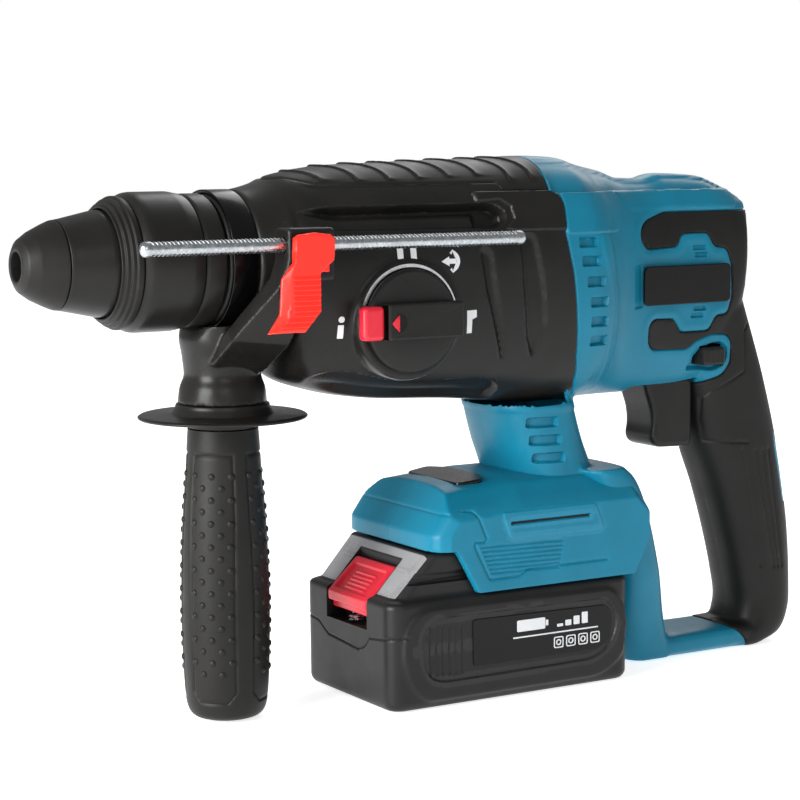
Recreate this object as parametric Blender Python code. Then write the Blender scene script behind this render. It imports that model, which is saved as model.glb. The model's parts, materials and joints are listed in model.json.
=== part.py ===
"""Cordless rotary hammer with a D-handle, a side handle and a slide-on battery.

Sizes are in millimetres in the barrel frame: X runs back along the barrel from the chuck to the
handle, Y points to the user's right, Z is up, and the barrel axis is y = 0, z = 0.
Objects are made in metres, with the world origin in the middle of the battery's bottom face.
"""

import math

import bmesh
import bpy
from mathutils import Matrix, Vector

MM = 0.001
GAP = 0.3                      # clearance between pieces that touch
FLOOR_Z = -182.5               # what the battery and the foot stand on
BATTERY_MID_X = 167.6
STAND = Vector((BATTERY_MID_X, 0.0, FLOOR_Z))

# chuck and spindle
NOSE_X = -32.0
NOSE_R = 17.1
SLEEVE_FRONT_X = -16.4
SLEEVE_REAR_X = 4.0
SLEEVE_REAR_R = 20.4
COLLAR_FRONT_X = 9.3
COLLAR_REAR_X = 34.4
COLLAR_R = 27.0
REAR_RING_END_X = 43.8
REAR_RING_R = 26.0
BIT_BORE_R = 5.2
SPINDLE_R = 13.5
CYLINDER_R = 15.5
CYLINDER_BORE_R = 12.3
PISTON_R = 12.0

# gear train
COARSE_MODULE = 1.3
SPINDLE_TEETH = 30
SPINDLE_PINION_TEETH = 10
FINE_MODULE = 1.0
SHAFT_TEETH = 30
MOTOR_TEETH = 8
SHAFT_Z = -COARSE_MODULE * (SPINDLE_TEETH + SPINDLE_PINION_TEETH) / 2
MOTOR_Z = SHAFT_Z + FINE_MODULE * (SHAFT_TEETH + MOTOR_TEETH) / 2
WOBBLE_X = 140.0

# casings
HOUSING_NECK_X = 44.4
HOUSING_NECK_R = 25.8
HOUSING_END_X = 193.0
WALL = 2.6
PAD_LIFT = 0.7
MOTOR_CAVITY_R = 30.2
NOSE_TOP_Z = -112.7             # upper edge of the base's upright nose
NOSE_SLOPE = 0.732             # how far the nose leans back for each millimetre of height
BASE_TOP_Z = -93.4
# y, front x, top z of the base's slices, from the left side to the middle
BASE_SLICES = [(-37.5, 135.6, -104.8), (-35.6, 131.8, -102.6), (-31.0, 129.6, -98.6),
               (-25.0, 128.8, BASE_TOP_Z)]
RAIL_Z = -129.0
CEILING_Z = -119.6
SCREW_PLACES = [(292.0, 12.0), (282.0, -176.6)]
VENT_COUNT = 6
VENT_PITCH = 8.3
VENT_TOP_Z = 3.8
VENT_HALF_HEIGHT = 1.9

# side handle
HANDLE_X = 53.0
GRIP_BOTTOM_Z = FLOOR_Z + 0.4
ROD_Y = -44.0
ROD_Z = 7.0
ROD_R = 2.9
ROD_FRONT_X = -1.6
ROD_LENGTH = 168.5
BLOCK_FACE_Y = -48.4
BUTTON_TRAVEL = 2.0

# mode dial
DIAL_X = 116.5
DIAL_Z = -24.5
DIAL_R = 21.5
DIAL_SEAT_Y = -38.0
BAR_REACH = 25.5               # how far the dial's bar reaches towards its lock button
BAR_TAIL = 19.0                # and away from it

# battery
BATTERY_FRONT_X = 108.2
BATTERY_REAR_X = 227.0
BATTERY_HALF_WIDTH = 36.2
PANEL_Y = 37.5                 # face of the raised side panels
BATTERY_SPLIT_Z = -158.0
BATTERY_SHOULDER_Z = -139.5
BATTERY_TOP_Z = CEILING_Z - GAP - 0.2

COLOURS = {
    "blue_plastic": ((0.026, 0.231, 0.392), 0.42, 0.0),
    "black_plastic": ((0.012, 0.012, 0.013), 0.45, 0.0),
    "black_rubber": ((0.010, 0.010, 0.010), 0.75, 0.0),
    "red_plastic": ((0.80, 0.035, 0.022), 0.38, 0.0),
    "crimson_plastic": ((0.60, 0.022, 0.050), 0.38, 0.0),
    "battery_plastic": ((0.016, 0.016, 0.017), 0.50, 0.0),
    "gloss_black": ((0.006, 0.006, 0.006), 0.15, 0.0),
    "zinc_steel": ((0.50, 0.51, 0.52), 0.35, 1.0),
    "hard_steel": ((0.32, 0.32, 0.33), 0.30, 1.0),
    "spring_steel": ((0.40, 0.40, 0.42), 0.30, 1.0),
    "cast_aluminium": ((0.55, 0.56, 0.57), 0.45, 1.0),
    "copper_winding": ((0.62, 0.25, 0.10), 0.40, 1.0),
    "cell_wrap": ((0.10, 0.25, 0.12), 0.50, 0.0),
    "green_board": ((0.02, 0.16, 0.06), 0.50, 0.0),
}


# ---------------------------------------------------------------- scene helpers

def clear_scene():
    for old in list(bpy.data.objects):
        bpy.data.objects.remove(old, do_unlink=True)


def material(slot):
    """One Principled material for each object, named after its slot."""
    colour, roughness, metallic = COLOURS[slot]
    made = bpy.data.materials.new(slot)
    made.use_nodes = True
    shader = made.node_tree.nodes["Principled BSDF"]
    shader.inputs["Base Color"].default_value = (*colour, 1.0)
    shader.inputs["Roughness"].default_value = roughness
    shader.inputs["Metallic"].default_value = metallic
    made.diffuse_color = (*colour, 1.0)
    return made


def world(point):
    """A barrel-frame point in millimetres as world metres."""
    return (Vector(point) - STAND) * MM


def group(name, pivot):
    """An empty on a joint's axis, which carries the pieces that move together."""
    empty = bpy.data.objects.new(name + "_pivot", None)
    empty.location = world(pivot)
    bpy.context.scene.collection.objects.link(empty)
    return empty


def place(name, bm, slot, pivot=(0.0, 0.0, 0.0), parent=None):
    """Links a mesh made in barrel millimetres as an object with its origin at the pivot."""
    bmesh.ops.recalc_face_normals(bm, faces=bm.faces)
    bmesh.ops.translate(bm, verts=bm.verts, vec=-Vector(pivot))
    bmesh.ops.scale(bm, verts=bm.verts, vec=(MM, MM, MM))
    mesh = bpy.data.meshes.new(name)
    bm.to_mesh(mesh)
    bm.free()
    mesh.shade_smooth()
    mesh.set_sharp_from_angle(angle=math.radians(35))
    made = bpy.data.objects.new(name, mesh)
    bpy.context.scene.collection.objects.link(made)
    made.location = world(pivot)
    if parent:
        made.parent = parent
        made.location = world(pivot) - parent.location
    if slot:
        mesh.materials.append(material(slot))
    return made


def cutter(name, bm):
    """A guide shape for Boolean modifiers, which the finished model leaves out."""
    made = place(name + "_cutter", bm, None)
    made.hide_render = True
    made.display_type = "WIRE"
    return made


def boolean(target, tool, operation="DIFFERENCE"):
    step = target.modifiers.new(operation.lower(), "BOOLEAN")
    step.operation = operation
    step.solver = "EXACT"
    step.object = tool


# ---------------------------------------------------------------- mesh builders

def box(low, high):
    bm = bmesh.new()
    bmesh.ops.create_cube(bm, size=1.0)
    size = Vector(high) - Vector(low)
    bmesh.ops.scale(bm, verts=bm.verts, vec=size)
    bmesh.ops.translate(bm, verts=bm.verts, vec=Vector(low) + size / 2)
    return bm


def turned(profile, centre=(0.0, 0.0, 0.0), axis="X", segments=20):
    """Spins a closed outline of (along, radius) points about an axis through the centre."""
    bm = bmesh.new()
    points = [bm.verts.new((along, 0.0, radius)) for along, radius in profile]
    edges = [bm.edges.new((points[i - 1], points[i])) for i in range(len(points))]
    bmesh.ops.spin(bm, geom=points + edges, cent=(0, 0, 0), axis=(1, 0, 0),
                   angle=math.tau, steps=segments, use_merge=True)
    bmesh.ops.remove_doubles(bm, verts=bm.verts, dist=0.0005)
    return aimed(bm, centre, axis)


def aimed(bm, centre, axis):
    """Turns a shape made along X to lie along another axis, and moves it to the centre."""
    turns = {"X": Matrix(), "Y": Matrix.Rotation(math.pi / 2, 4, "Z"),
             "Z": Matrix.Rotation(-math.pi / 2, 4, "Y")}
    bmesh.ops.transform(bm, matrix=Matrix.Translation(centre) @ turns[axis], verts=bm.verts)
    return bm


def tube(start, end, outer, inner, centre=(0.0, 0.0, 0.0), axis="X", segments=20):
    profile = [(start, inner), (start, outer), (end, outer), (end, inner)]
    return turned(profile, centre, axis, segments)


def rod(start, end, radius, centre=(0.0, 0.0, 0.0), axis="X", segments=14, edge=0.4):
    profile = [(start, 0.0), (start, radius - edge), (start + edge, radius),
               (end - edge, radius), (end, radius - edge), (end, 0.0)]
    return turned(profile, centre, axis, segments)


def flat_cap(bm, loops):
    """Fills an outline, with its holes, with triangles."""
    edges = []
    for loop in loops:
        edges += [bm.edges.get((loop[i - 1], loop[i])) for i in range(len(loop))]
    bmesh.ops.triangle_fill(bm, use_beauty=True, edges=edges)


def prism(loops, start, end, axis="Y"):
    """Extrudes outlines, the first outside and the rest holes, along an axis.

    Outline points are (x, z) for axis Y, (y, z) for axis X and (x, y) for axis Z.
    """
    order = {"X": lambda a, b, t: (t, a, b), "Y": lambda a, b, t: (a, t, b),
             "Z": lambda a, b, t: (a, b, t)}[axis]
    bm = bmesh.new()
    ends = []
    for level in (start, end):
        rings = []
        for loop in loops:
            ring = [bm.verts.new(order(a, b, level)) for a, b in loop]
            for i in range(len(ring)):
                bm.edges.new((ring[i - 1], ring[i]))
            rings.append(ring)
        flat_cap(bm, rings)
        ends.append(rings)
    for near, far in zip(*ends):
        for i in range(len(near)):
            bm.faces.new((near[i - 1], near[i], far[i], far[i - 1]))
    return bm


def loft(rings):
    """Joins rings of equal point count and caps the two ends."""
    bm = bmesh.new()
    made = [[bm.verts.new(p) for p in ring] for ring in rings]
    for near, far in zip(made, made[1:]):
        for i in range(len(near)):
            bm.faces.new((near[i - 1], near[i], far[i], far[i - 1]))
    bm.faces.new(made[0])
    bm.faces.new(made[-1])
    return bm


def oval(half_a, half_b, power, count=24):
    """A superellipse: power 2 is an ellipse, and more is squarer."""
    points = []
    for i in range(count):
        turn = math.tau * i / count
        ca, sa = math.cos(turn), math.sin(turn)
        points.append((math.copysign(abs(ca) ** (2 / power), ca) * half_a,
                       math.copysign(abs(sa) ** (2 / power), sa) * half_b))
    return points


def circle(radius, count, centre=(0.0, 0.0)):
    return [(centre[0] + radius * math.cos(math.tau * i / count),
             centre[1] + radius * math.sin(math.tau * i / count)) for i in range(count)]


def loft_x(sections, grow=0.0, count=16):
    """Sections (x, top z, bottom z, half width, power) along X, grown all round."""
    rings = []
    for x, top, bottom, width, power in sections:
        middle, half = (top + bottom) / 2, (top - bottom) / 2 + grow
        rings.append([(x, y, middle + z) for y, z in oval(width + grow, half, power, count)])
    return loft(rings)


def loft_z(sections, grow=0.0, count=16):
    """Sections (z, front x, rear x, half width, power) along Z, grown all round."""
    rings = []
    for z, front, rear, width, power in sections:
        middle, half = (front + rear) / 2, (rear - front) / 2 + grow
        rings.append([(middle + x, y, z) for x, y in oval(half, width + grow, power, count)])
    return loft(rings)


def gear_outline(teeth, module, phase=0.0):
    """Four points to a tooth: two at the root and two at the tip."""
    pitch_r = teeth * module / 2
    root, tip = pitch_r - 1.0 * module, pitch_r + 0.65 * module
    step = math.tau / teeth
    points = []
    for tooth in range(teeth):
        for offset, radius in ((-0.25, root), (-0.12, tip), (0.12, tip), (0.25, root)):
            turn = phase + (tooth + offset) * step
            points.append((radius * math.cos(turn), radius * math.sin(turn)))
    return points


def shifted(points, da, db):
    return [(a + da, b + db) for a, b in points]


def coil(start, end, radius, wire, turns, centre, axis="X", sides=4, per_turn=9):
    """A helical spring as a swept tube between two places on its axis."""
    rings = []
    count = int(turns * per_turn)
    for i in range(count + 1):
        turn = math.tau * i / per_turn
        along = start + (end - start) * i / count
        out = Vector((0.0, math.cos(turn), math.sin(turn)))
        middle = Vector((along, 0.0, 0.0)) + out * radius
        ring = []
        for k in range(sides):
            bend = math.tau * k / sides
            ring.append(middle + out * wire * math.cos(bend) + Vector((wire * math.sin(bend), 0, 0)))
        rings.append(ring)
    return aimed(loft(rings), centre, axis)


# ---------------------------------------------------------------- casing shapes

HOUSING_SECTIONS = [
    (57.0, 27.2, -27.8, 27.8, 2.0), (61.5, 28.0, -28.6, 28.8, 2.0), (70.8, 30.6, -31.0, 31.2, 2.1),
    (72.0, 31.2, -43.0, 31.8, 2.2), (76.0, 32.6, -48.6, 33.2, 2.3), (88.0, 34.8, -53.0, 35.2, 2.4),
    (100.0, 36.2, -56.0, 36.4, 2.5), (120.0, 36.9, -58.6, 37.0, 2.6), (150.0, 37.8, -60.4, 37.3, 2.6),
    (175.0, 38.4, -63.0, 37.5, 2.6), (HOUSING_END_X, 38.8, -64.6, 37.6, 2.6),
]

BODY_SECTIONS = [
    (HOUSING_END_X + GAP, 39.7, -65.0, 38.2, 2.6), (206.0, 38.6, -64.6, 38.2, 2.6),
    (214.0, 36.4, -64.2, 36.8, 2.5), (222.0, 34.6, -64.0, 32.0, 2.4), (231.0, 32.8, -64.0, 27.0, 2.4),
    (242.0, 29.4, -64.0, 24.0, 2.5), (254.0, 29.0, -64.0, 22.2, 2.6), (264.0, 31.0, -64.0, 21.2, 2.7),
    (284.0, 30.0, -62.0, 20.2, 2.7), (296.0, 26.2, -50.0, 19.4, 2.6), (303.0, 23.0, -34.0, 18.0, 2.4),
    (306.5, 21.0, 4.0, 12.0, 2.2),
]

GRIP_SECTIONS = [
    (8.0, 268.0, 302.6, 18.6, 2.8), (-14.0, 270.0, 303.2, 18.6, 2.8), (-26.0, 272.0, 307.4, 18.6, 2.8),
    (-44.0, 276.0, 314.2, 18.4, 2.8), (-62.0, 280.0, 320.8, 18.2, 2.7), (-90.6, 285.6, 329.2, 17.8, 2.6),
    (-110.0, 293.0, 333.2, 17.6, 2.5), (-132.0, 300.2, 336.2, 17.4, 2.5), (-150.0, 305.0, 337.2, 17.2, 2.5),
    (-163.0, 307.4, 337.2, 17.2, 2.5), (-171.4, 305.6, 335.4, 17.2, 2.5),
    (-177.6, 299.0, 331.6, 17.0, 2.6), (FLOOR_Z + 0.5, 296.0, 320.0, 15.6, 2.6),
]

POST_SECTIONS = [
    (-92.6, 206.0, 231.6, 33.0, 3.2), (-97.4, 209.0, 237.2, 33.4, 3.2), (-107.0, 214.0, 242.6, 33.0, 3.2),
    (-136.4, 228.4, 252.6, 29.0, 3.2), (-166.0, 236.6, 262.8, 19.6, 3.2),
    (FLOOR_Z + 0.5, 243.0, 267.8, 16.8, 3.4),
]

NECK_SECTIONS = [
    (-52.0, 171.6, 209.0, 24.6, 2.8), (-66.0, 173.6, 212.6, 25.0, 2.8), (-80.0, 177.2, 216.8, 25.0, 2.8),
    (-95.0, 182.6, 222.8, 25.2, 2.8),
]

COVER_TOP_Z = -91.0
COVER_END_Z = -170.6


def housing_shape(grow=0.0):
    return loft_x(HOUSING_SECTIONS, grow)


def grip_shape(grow, low, high):
    """The handle's slanted grip between two heights."""
    inside = [s for s in GRIP_SECTIONS if low < s[0] < high]
    ends = []
    for z in (high, low):
        above = [s for s in GRIP_SECTIONS if s[0] >= z][-1]
        below = [s for s in GRIP_SECTIONS if s[0] <= z][0]
        share = 0.0 if above[0] == below[0] else (above[0] - z) / (above[0] - below[0])
        ends.append(tuple(a + (b - a) * share for a, b in zip(above, below)))
    return loft_z([ends[0], *inside, ends[1]], grow)


def base_ring(y, front, top):
    """Side outline of the battery base at one place across its width, from its front nose round."""
    slope_top = front + (top - NOSE_TOP_Z) * NOSE_SLOPE
    outline = [(front, NOSE_TOP_Z), (front, -119.2), (138.6, -119.2), (141.0, -122.6), (149.4, -137.4),
               (228.0, -137.4), (236.0, -122.0), (236.0, top - 7.0), (229.0, top), (slope_top, top)]
    return [(x, y, z) for x, z in outline]


def base_shape():
    """The base as slices across its width: rounded nose, sloping shoulders, flat top."""
    far_side = [(-y, front, top) for y, front, top in reversed(BASE_SLICES)]
    return loft([base_ring(*slice_at) for slice_at in BASE_SLICES + far_side])


# ---------------------------------------------------------------- chuck and hammer mechanism

def make_chuck(spindle):
    nose = [(NOSE_X, BIT_BORE_R + 0.4), (NOSE_X, 7.2), (-30.4, 10.2), (-26.4, 13.0), (-21.0, 15.6),
            (-17.8, 16.9), (-16.8, NOSE_R), (-16.8, 9.4), (-27.4, 9.4), (-27.4, BIT_BORE_R + 0.4)]
    place("nose_cap", turned(nose, segments=24), "black_rubber", parent=spindle)
    ring = [(SLEEVE_REAR_X - 2.5, 21.0), (SLEEVE_REAR_X - 2.5, 22.0), (2.9, 22.0), (3.1, 23.4), (4.7, 23.4),
            (4.9, 24.7), (6.5, 24.7), (6.7, 25.6), (9.0, 25.6), (9.0, 21.0)]
    place("collar_front_ring", turned(ring, segments=24), "black_rubber", parent=spindle)
    collar = [(COLLAR_FRONT_X, 21.0), (COLLAR_FRONT_X, 24.8), (12.2, 26.7), (14.6, COLLAR_R),
              (29.2, COLLAR_R), (COLLAR_REAR_X, REAR_RING_R), (COLLAR_REAR_X, SPINDLE_R + GAP),
              (30.0, SPINDLE_R + GAP), (30.0, 21.0)]
    place("collar", turned(collar, segments=28), "black_plastic", parent=spindle)
    rear = [(COLLAR_REAR_X + GAP, SPINDLE_R + GAP), (COLLAR_REAR_X + GAP, REAR_RING_R - 0.5),
            (36.0, REAR_RING_R), (42.9, REAR_RING_R), (REAR_RING_END_X, 25.2),
            (REAR_RING_END_X, SPINDLE_R + GAP)]
    place("collar_rear_ring", turned(rear, segments=28), "black_plastic", parent=spindle)


def make_spindle(spindle):
    holder = [(-26.6, BIT_BORE_R), (-26.6, 8.4), (-25.8, 9.0), (-4.0, 9.0), (-3.0, 11.5), (20.0, 11.5),
              (20.0, SPINDLE_R), (56.6, SPINDLE_R), (56.6, CYLINDER_R), (60.0, CYLINDER_R),
              (60.0, BIT_BORE_R)]
    made = place("tool_holder", turned(holder), "hard_steel", parent=spindle)
    slot = cutter("ball_slot", box((-14.5, -2.9, 5.4), (-7.5, 2.9, 12.0)))
    boolean(made, slot)
    ball = bmesh.new()
    bmesh.ops.create_icosphere(ball, subdivisions=2, radius=2.7)
    bmesh.ops.translate(ball, verts=ball.verts, vec=(-11.0, 0.0, 8.6))
    place("locking_ball", ball, "hard_steel", parent=spindle)
    place("cylinder", tube(60.3, 128.0, CYLINDER_R, CYLINDER_BORE_R), "hard_steel", parent=spindle)
    outline = gear_outline(SPINDLE_TEETH, COARSE_MODULE)
    gear = prism([outline, circle(CYLINDER_R + GAP, 24)], 99.0, 109.0, "X")
    place("spindle_gear", gear, "hard_steel", parent=spindle)


def make_release_sleeve(spindle):
    sleeve = group("release_sleeve", (0.0, 0.0, 0.0))
    sleeve.parent = spindle
    sleeve.location = (0.0, 0.0, 0.0)
    profile = [(SLEEVE_FRONT_X, 12.0), (SLEEVE_FRONT_X, NOSE_R), (-14.0, 17.5),
               (SLEEVE_REAR_X - 4.4, SLEEVE_REAR_R), (SLEEVE_REAR_X, SLEEVE_REAR_R), (SLEEVE_REAR_X, 18.4),
               (-6.0, 16.4), (-6.0, 12.0)]
    made = place("release_sleeve", turned(profile, segments=24), "black_plastic")
    made.parent = sleeve
    made.location = (0.0, 0.0, 0.0)
    spring = coil(-5.0, 19.0, 14.4, 0.8, 4, (0, 0, 0))
    place("sleeve_spring", spring, "spring_steel", parent=spindle)


def make_hammer(spindle):
    bolt = [(49.5, 0.0), (49.5, 4.0), (50.5, 4.8), (64.0, 4.8), (66.0, 9.5), (74.0, 9.5), (76.0, 6.0),
            (80.0, 6.0), (80.0, 0.0)]
    place("impact_bolt", turned(bolt, segments=14), "hard_steel", parent=spindle)
    striker = [(88.0, 0.0), (88.0, 6.5), (92.0, 6.5), (93.0, PISTON_R), (97.0, PISTON_R), (97.0, 10.4),
               (99.4, 10.4), (99.4, PISTON_R), (104.0, PISTON_R), (104.0, 0.0)]
    place("striker", turned(striker, segments=16), "hard_steel", parent=spindle)
    ring = turned([(x + 98.2, r + 11.4) for x, r in circle(0.7, 4)], segments=16)
    place("striker_o_ring", ring, "black_rubber", parent=spindle)


def make_piston():
    pin_at = (WOBBLE_X, 0.0, 0.0)
    drive = group("piston", pin_at)
    profile = [(117.0, 9.0), (117.0, PISTON_R), (147.0, PISTON_R), (147.0, 0.0), (127.0, 0.0), (127.0, 9.0)]
    piston = place("piston", turned(profile, segments=24), "cast_aluminium", pin_at, drive)
    boolean(piston, cutter("fork_slot", box((129.5, -4.0, -13.0), (148.0, 4.0, 13.0))))
    boolean(piston, cutter("pin_hole", rod(-13.0, 13.0, 2.8, pin_at, "Y", 16)))
    place("piston_pin", rod(-10.6, 10.6, 2.4, pin_at, "Y", 12), "hard_steel", pin_at, drive)


def make_wobble():
    """The rocking ring whose arm drives the piston pin."""
    centre = (WOBBLE_X, 0.0, SHAFT_Z)
    rock = group("wobble_ring", centre)
    ring = place("wobble_ring", tube(-3.4, 3.4, 12.5, 9.0, centre, "X", 24), "hard_steel", centre, rock)
    outline = [(-4.6, 10.6), (4.6, 10.6), (4.6, 27.0), (2.6, 31.0), (-2.6, 31.0), (-4.6, 27.0)]
    arm = prism([shifted(outline, WOBBLE_X, SHAFT_Z)], -3.4, 3.4)
    boolean(ring, cutter("wobble_arm", arm), "UNION")
    eye = [(-2.75, -1.6), (-2.75, 2.0), (-1.6, 3.6), (1.6, 3.6), (2.75, 2.0), (2.75, -1.6), (1.6, -3.0),
           (-1.6, -3.0)]
    boolean(ring, cutter("arm_eye", prism([shifted(eye, WOBBLE_X, 0.0)], -6.0, 6.0)))


def make_gear_train():
    axis = (0.0, 0.0, SHAFT_Z)
    shaft = group("intermediate_shaft", axis)
    bar = rod(75.0, 170.4, 4.0, axis, "X", 12)
    made = place("intermediate_shaft", bar, "hard_steel", axis, shaft)
    pinion = gear_outline(SPINDLE_PINION_TEETH, COARSE_MODULE, math.pi / SPINDLE_PINION_TEETH)
    teeth = prism([shifted(pinion, 0.0, SHAFT_Z)], 97.0, 111.0, "X")
    boolean(made, cutter("shaft_pinion", teeth), "UNION")
    hub = [(-6.5, 4.3), (-6.5, 5.6), (-4.0, 7.6), (0.0, 8.6), (4.0, 7.6), (6.5, 5.6), (6.5, 4.3)]
    place("wobble_hub", turned(hub, (WOBBLE_X, 0, SHAFT_Z), "X", 20), "hard_steel", axis, shaft)
    outline = shifted(gear_outline(SHAFT_TEETH, FINE_MODULE), 0.0, SHAFT_Z)
    gear = prism([outline, circle(4.3, 12, (0.0, SHAFT_Z))], 155.0, 161.0, "X")
    place("intermediate_gear", gear, "hard_steel", axis, shaft)
    ball_bearing("shaft_bearing_front", 76.0, 82.0, 4.3, 8.6, SHAFT_Z)
    ball_bearing("shaft_bearing_rear", 163.2, 168.2, 4.3, 7.0, SHAFT_Z)
    ball_bearing("spindle_bearing", 46.0, 56.0, SPINDLE_R + 0.4, 20.2, 0.0)


def ball_bearing(name, start, end, bore, outer, z):
    """A sealed ball bearing: one ring with a groove between its races."""
    third = (outer - bore) / 3
    profile = [(start, bore), (start, bore + third), (start + 0.5, outer - third), (start, outer - 0.3),
               (start + 0.3, outer), (end, outer), (end, bore)]
    place(name, turned(profile, (0.0, 0.0, z), "X", 16), "zinc_steel", (start, 0.0, z))


def make_motor():
    axis = (0.0, 0.0, MOTOR_Z)
    spin = group("motor", axis)
    shaft = place("motor_shaft", rod(163.0, 228.0, 3.0, axis, "X", 16), "hard_steel", axis, spin)
    teeth = prism([shifted(gear_outline(MOTOR_TEETH, FINE_MODULE), 0.0, MOTOR_Z)], 155.0, 162.8, "X")
    stub = cutter("motor_pinion", teeth)
    neck = cutter("pinion_neck", rod(160.0, 164.5, 2.6, axis, "X", 16))
    boolean(shaft, neck, "UNION")
    boolean(shaft, stub, "UNION")
    place("rotor", tube(184.0, 212.0, 14.5, 3.3, axis, "X", 24), "hard_steel", axis, spin)
    blades = []
    for i in range(9):
        for offset, radius in ((0.0, 9.0), (0.0, 24.0), (0.22, 24.0), (0.30, 9.0)):
            turn = math.tau * (i + offset) / 9
            blades.append((radius * math.cos(turn), MOTOR_Z + radius * math.sin(turn)))
    fan = prism([blades, circle(3.3, 16, (0.0, MOTOR_Z))], 171.5, 178.0, "X")
    place("cooling_fan", fan, "black_plastic", axis, spin)
    outer = circle(29.6, 28, (0.0, MOTOR_Z))
    inner = []
    for i in range(6):
        for offset, radius in ((0.06, 15.4), (0.44, 15.4), (0.50, 22.5), (0.92, 22.5)):
            turn = math.tau * (i + offset) / 6
            inner.append((radius * math.cos(turn), MOTOR_Z + radius * math.sin(turn)))
    place("stator", prism([outer, inner], 182.0, 214.0, "X"), "copper_winding", axis)
    ball_bearing("motor_bearing_front", 163.2, 168.2, 3.3, 8.0, MOTOR_Z)
    ball_bearing("motor_bearing_rear", 219.0, 225.0, 3.3, 8.0, MOTOR_Z)


# ---------------------------------------------------------------- casings

def make_gear_housing():
    housing = place("gear_housing", housing_shape(), "black_plastic")
    neck = cutter("housing_neck", tube(HOUSING_NECK_X, 66.0, HOUSING_NECK_R, 20.5, segments=28))
    inner = [(x, top - WALL, bottom + WALL, width - WALL, power)
             for x, top, bottom, width, power in HOUSING_SECTIONS]
    inner[0] = (60.0, 24.0, -24.0, 24.0, 2.0)
    inner[2] = (73.4, 28.2, -28.4, 28.6, 2.1)
    inner[3] = (74.4, 28.8, -40.0, 29.4, 2.2)
    inner[4] = (78.0, 30.2, -45.6, 30.6, 2.3)
    inner[-1] = (HOUSING_END_X + 1.0, *inner[-1][1:])
    boolean(housing, cutter("housing_inside", loft_x(inner)))
    boolean(housing, cutter("nose_bore", rod(50.0, 66.0, 20.5, (0, 0, 0), "X", 32)))
    boolean(housing, neck, "UNION")
    boss = cutter("bearing_boss", tube(72.6, 82.0, 10.1, 8.9, (0, 0, SHAFT_Z), "X", 16))
    boolean(housing, boss, "UNION")
    axis = (DIAL_X, 0.0, DIAL_Z)
    disc = [(DIAL_SEAT_Y, 0.0), (DIAL_SEAT_Y, DIAL_R + 1.6), (-35.6, DIAL_R + 2.4), (-35.6, 0.0)]
    boolean(housing, cutter("dial_seat", turned(disc, axis, "Y", 32)), "UNION")
    boolean(housing, cutter("dial_hole", rod(-45.0, -28.0, 6.0, axis, "Y", 16)))


def make_top_pad():
    pad = place("top_pad", housing_shape(PAD_LIFT), "black_rubber")
    boolean(pad, cutter("pad_inside", housing_shape(GAP)))
    boolean(pad, cutter("pad_area", box((86.0, -22.0, 26.0), (188.0, 22.0, 50.0))), "INTERSECT")


def make_bearing_plate():
    """The aluminium plate that carries the rear bearings, behind the gears."""
    outline = shifted(oval(34.0, 44.0, 2.6, 28), 0.0, -12.0)
    holes = [circle(8.3, 16, (0.0, MOTOR_Z)), circle(7.3, 16, (0.0, SHAFT_Z))]
    place("bearing_plate", prism([outline, *holes], 163.6, 167.6, "X"), "cast_aluminium")


def body_cutters():
    """Shapes taken out of both body halves: cavities, rails, vents, screw holes."""
    shapes = []
    shapes.append(cutter("housing_room", housing_shape(0.4)))
    cavity = [(190.0, 0.0), (190.0, MOTOR_CAVITY_R), (216.6, MOTOR_CAVITY_R), (216.6, 8.4), (226.0, 8.4),
              (226.0, 4.0), (230.0, 4.0), (230.0, 0.0)]
    shapes.append(cutter("motor_cavity", turned(cavity, (0, 0, MOTOR_Z), "X", 32)))
    shapes.append(cutter("neck_duct", box((186.0, -17.0, -104.0), (207.0, 17.0, -20.0))))
    shapes.append(cutter("board_bay", box((146.0, -25.0, -116.0), (214.0, 25.0, -98.0))))
    shapes.append(cutter("terminal_slot", box((196.0, -20.0, -121.0), (220.0, 20.0, -109.4))))
    bay = [(-33.6, -140.0), (-33.6, RAIL_Z - 2.0), (-31.0, RAIL_Z - 2.0), (-31.0, RAIL_Z + 2.0),
           (-33.6, RAIL_Z + 2.0), (-33.6, CEILING_Z)]
    bay += [(-y, z) for y, z in reversed(bay)]
    shapes.append(cutter("battery_bay", prism([bay], 120.0, 229.0, "X")))
    shapes.append(cutter("trigger_slot", box((246.0, -11.6, -90.4), (293.0, 11.6, -55.0))))
    shapes.append(cutter("switch_bay", box((290.6, -10.6, -84.0), (312.0, 10.6, -48.0))))
    shapes.append(cutter("bridge_bay", box((231.0, -14.0, -43.0), (276.0, 14.0, 19.0))))
    shapes.append(cutter("grip_bay", grip_shape(-7.0, -166.0, -93.0)))
    shapes.append(cutter("lever_slot", box((278.4, -26.0, -53.6), (291.6, 26.0, -44.4))))
    for i in range(VENT_COUNT):
        z = VENT_TOP_Z - VENT_PITCH * i
        shapes.append(cutter(f"vent_{i}", box((198.6, -44.0, z - VENT_HALF_HEIGHT),
                                              (209.4, 44.0, z + VENT_HALF_HEIGHT))))
    for i in range(3):
        x, z = 193.0 + 2.0 * i, -73.4 - 7.6 * i
        shapes.append(cutter(f"neck_vent_{i}", box((x, -30.0, z - 1.7), (x + 13.0, -16.0, z + 1.7))))
    for i, (x, z) in enumerate(SCREW_PLACES):
        shapes.append(cutter(f"screw_hole_{i}", rod(-15.2, 16.0, 2.1, (x, 0, z), "Y", 12)))
        shapes.append(cutter(f"screw_seat_{i}", rod(11.6, 26.0, 4.2, (x, 0, z), "Y", 16)))
    return shapes


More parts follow.
